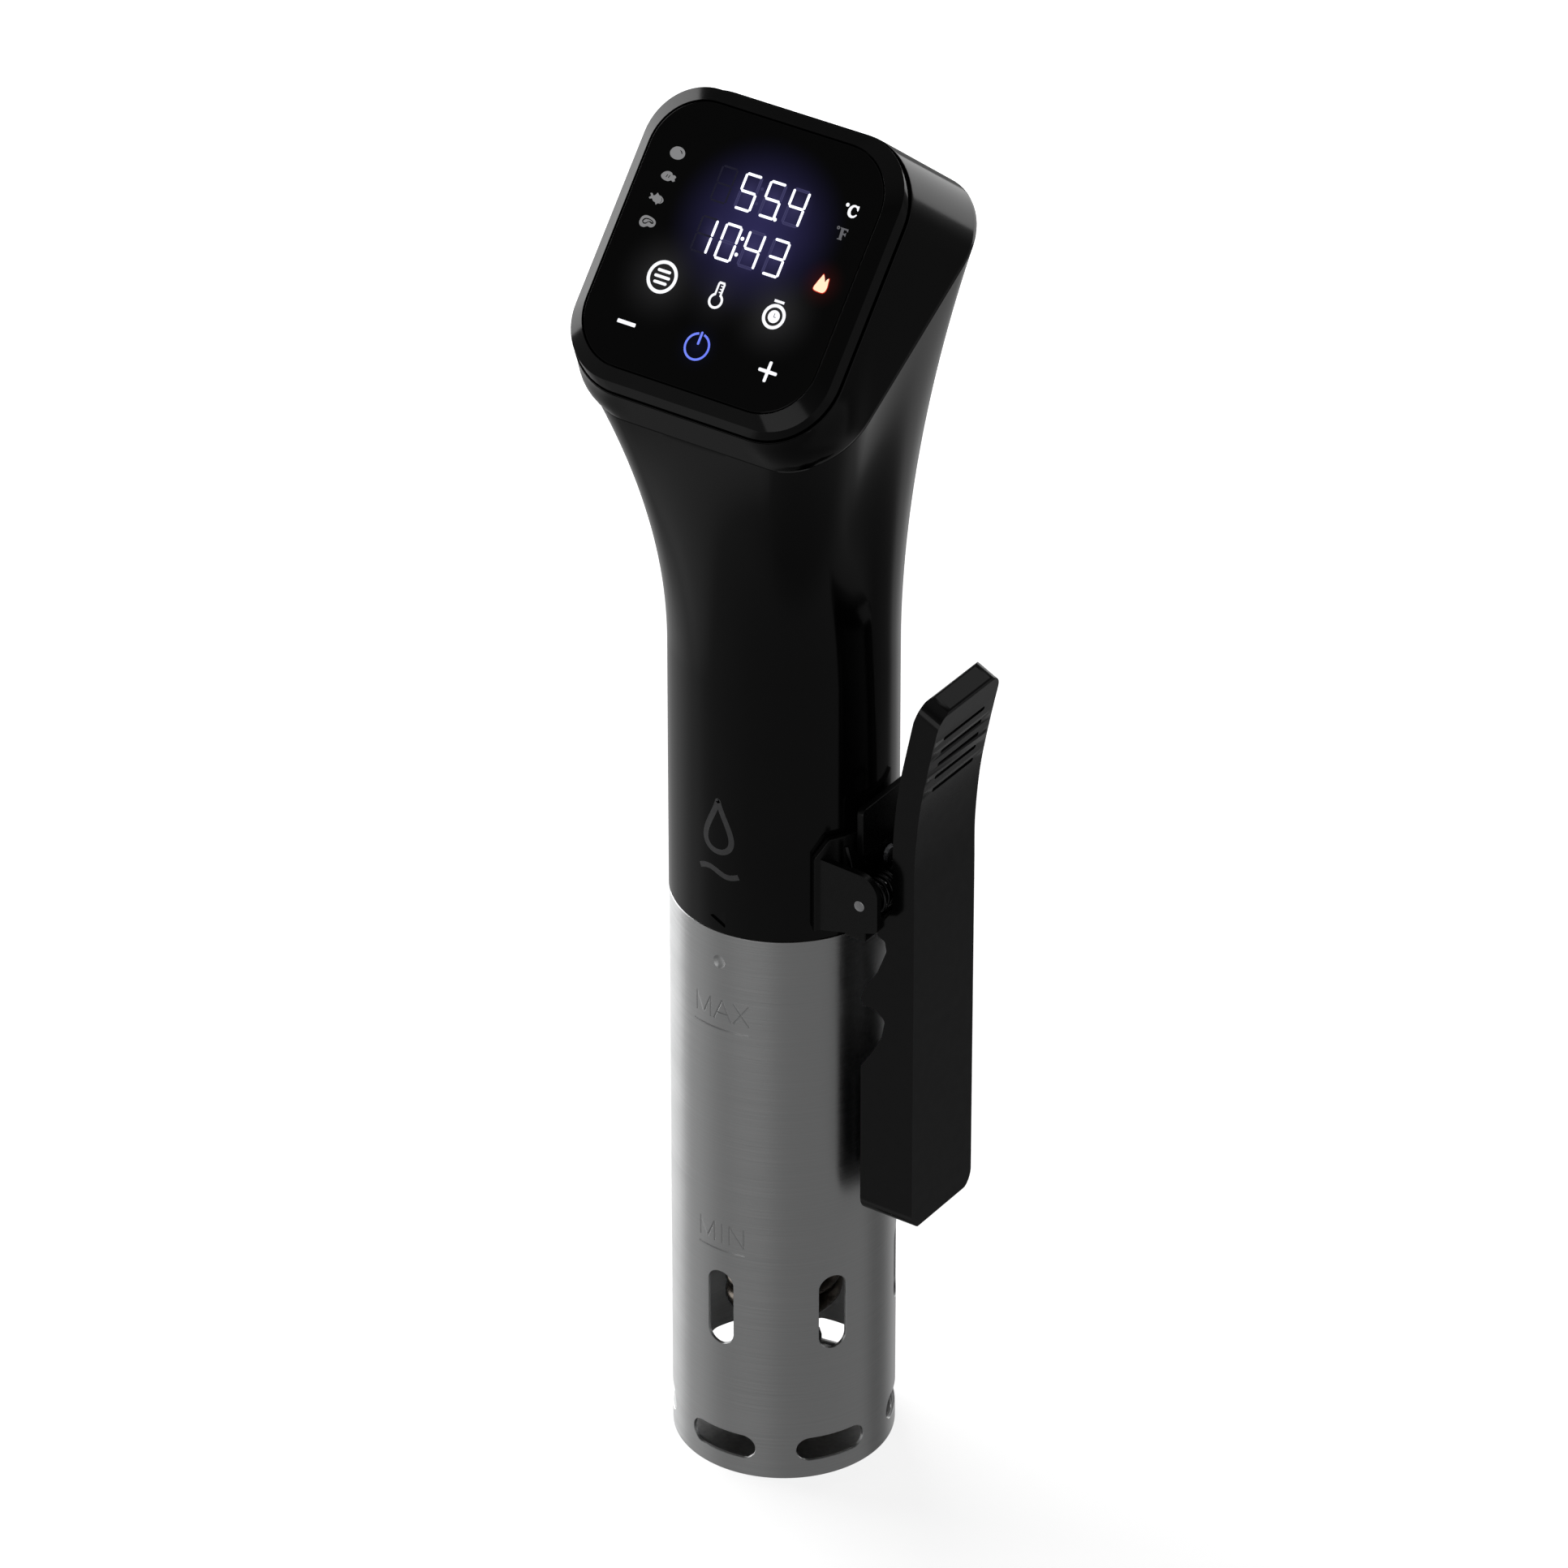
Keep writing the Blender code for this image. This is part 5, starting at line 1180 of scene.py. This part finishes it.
def towards(turn, rise):
    """The unit vector at an angle round from the front and an angle up."""
    turn, rise = math.radians(turn), math.radians(rise)
    return Vector((math.sin(turn) * math.cos(rise), -math.cos(turn) * math.cos(rise), math.sin(rise)))


def stepped(tree, source, stops):
    """A grey scale over -1 to 1, from (place, value) stops."""
    ramp = added(tree, "ValToRGB", {"Fac": ranged(tree, source, -1, 1)})
    elements = ramp.color_ramp.elements
    elements.remove(elements[1])
    elements[0].color = (*[stops[0][1]] * 3, 1)
    for position, value in stops[1:]:
        elements.new((position + 1) / 2).color = (value, value, value, 1)
    return ramp.outputs["Color"]


def along(tree, place, direction):
    """How far a view direction leans towards another, from -1 to 1."""
    return added(tree, "VectorMath", {0: place, 1: direction}, operation="DOT_PRODUCT").outputs["Value"]


FLOOR_STOPS = (
    (-1, 0.11), (-0.6, 0.12), (-0.1, 0.155), (0.1, 0.19), (0.2, 0.24), (0.33, 0.31), (0.45, 0.38), (1, 0.45)
)
# The rises, as sines, between which the lower surroundings give way to the upper ones.
HORIZON = (-0.53, -0.36)
SKY_STOPS = ((-1, 0.15), (-0.2, 0.15), (0.1, 0.15), (0.35, 0.09), (0.7, 0.05), (0.94, 0.11), (1, 0.12))

# Darker and lighter areas of the surroundings: the turn and rise of each, where it is full and where it
# ends, in degrees, and its factor.
SPOTS = (
    (146, -27, 9, 22, 0.38),
    (0, -90, 31, 43, 0.6),
    (-58, -46, 6, 17, 1.65),
    (-178, -36, 6, 18, 1.6),
    (171, 44, 6, 13, 7.0),
)


def studio():
    """Soft surroundings: paler below and to the left, dark above, with three softboxes."""
    world = bpy.data.worlds.new("studio")
    bpy.context.scene.world = world
    world.use_nodes = True
    tree = world.node_tree
    tree.nodes.clear()
    place = added(tree, "TexCoord").outputs["Generated"]
    height = along(tree, place, (0, 0, 1))
    surround = added(tree, "Mix", data_type="RGBA")
    tree.links.new(ranged(tree, height, *HORIZON), surround.inputs["Factor"])
    tree.links.new(stepped(tree, along(tree, place, towards(-120, 25)), FLOOR_STOPS), surround.inputs["A"])
    tree.links.new(stepped(tree, height, SKY_STOPS), surround.inputs["B"])
    strength = 1.0
    for turn, rise, inner, outer, factor in SPOTS:
        ends = (math.cos(math.radians(outer)), math.cos(math.radians(inner)))
        spot = ranged(tree, along(tree, place, towards(turn, rise)), *ends, 1.0, factor, "SMOOTHSTEP")
        strength = added(tree, "Math", {0: strength, 1: spot}, operation="MULTIPLY").outputs["Value"]
    soft = added(tree, "Background", {"Color": surround.outputs["Result"], "Strength": strength})
    seen = added(tree, "Background", {"Color": (1, 1, 1, 1)})
    view = added(tree, "LightPath").outputs["Is Camera Ray"]
    inputs = {"Fac": view, 1: soft.outputs["Background"], 2: seen.outputs["Background"]}
    mix = added(tree, "MixShader", inputs)
    added(tree, "OutputWorld", {"Surface": mix.outputs["Shader"]})
    soft_light("left_softbox", -106, 9, 2.2, 31, 33)
    soft_light("back_softbox", 181, -6, 0.75, 18, 15)
    soft_light("front_softbox", 4, 4, 0.45, 19, 14)


def soft_light(name, turn, rise, level, half_wide, half_tall):
    """A rectangular softbox of one brightness, placed and sized by angles seen from the object."""
    away = 1.4
    middle = Vector((0, 0, 0.25))
    light = bpy.data.lights.new(name, "AREA")
    light.shape = "RECTANGLE"
    light.size = 2 * away * math.tan(math.radians(half_wide))
    light.size_y = 2 * away * math.tan(math.radians(half_tall))
    light.energy = level * math.pi * light.size * light.size_y
    lamp = bpy.data.objects.new(name, light)
    lamp.location = middle + away * towards(turn, rise)
    lamp.rotation_euler = (middle - lamp.location).to_track_quat("-Z", "Y").to_euler()
    bpy.context.scene.collection.objects.link(lamp)


def floor():
    """A pale floor which glows to plain white away from the object, and which nothing reflects."""
    reach = 3000
    corners = [(-reach, -reach, 0), (reach, -reach, 0), (reach, reach, 0), (-reach, reach, 0)]
    made = made_object("floor", corners, [(0, 1, 2, 3)])
    pale = bpy.data.materials.new("pale_floor")
    pale.use_nodes = True
    tree = pale.node_tree
    shader = tree.nodes["Principled BSDF"]
    shader.inputs["Base Color"].default_value = (0.9, 0.9, 0.9, 1)
    shader.inputs["Roughness"].default_value = 0.9
    shader.inputs["Emission Color"].default_value = (1, 1, 1, 1)
    place = added(tree, "TexCoord").outputs["Object"]
    away = added(tree, "VectorMath", {0: place}, operation="LENGTH").outputs["Value"]
    tree.links.new(ranged(tree, away, 0.3, 1.0, 0.8, 1.05), shader.inputs["Emission Strength"])
    made.data.materials.append(pale)
    made.visible_glossy = False
    made.visible_diffuse = False


def camera():
    back = towards(CAMERA_TURN, CAMERA_RISE)
    data = bpy.data.cameras.new("camera")
    data.lens = 226.6
    data.sensor_width = 36.0
    data.clip_start, data.clip_end = 0.1, 20.0
    made = bpy.data.objects.new("camera", data)
    made.location = Vector((0, 0, CAMERA_AIM * MM)) + back * CAMERA_AWAY * MM
    made.rotation_euler = (-back).to_track_quat("-Z", "Y").to_euler()
    bpy.context.scene.collection.objects.link(made)
    bpy.context.scene.camera = made


def main():
    handle_shell()
    display_bezel()
    display_glass()
    digits()
    food_icons()
    unit_marks()
    touch_icons()
    drop_mark()
    skirt_tube()
    heater()
    clamp_bracket()
    clamp_pin()
    clamp_lever()
    clamp_spring()
    cord_gland()
    keep_cad()
    studio()
    floor()
    camera()
    bpy.context.scene.view_settings.view_transform = "Standard"


main()
bpy.context.view_layer.update()
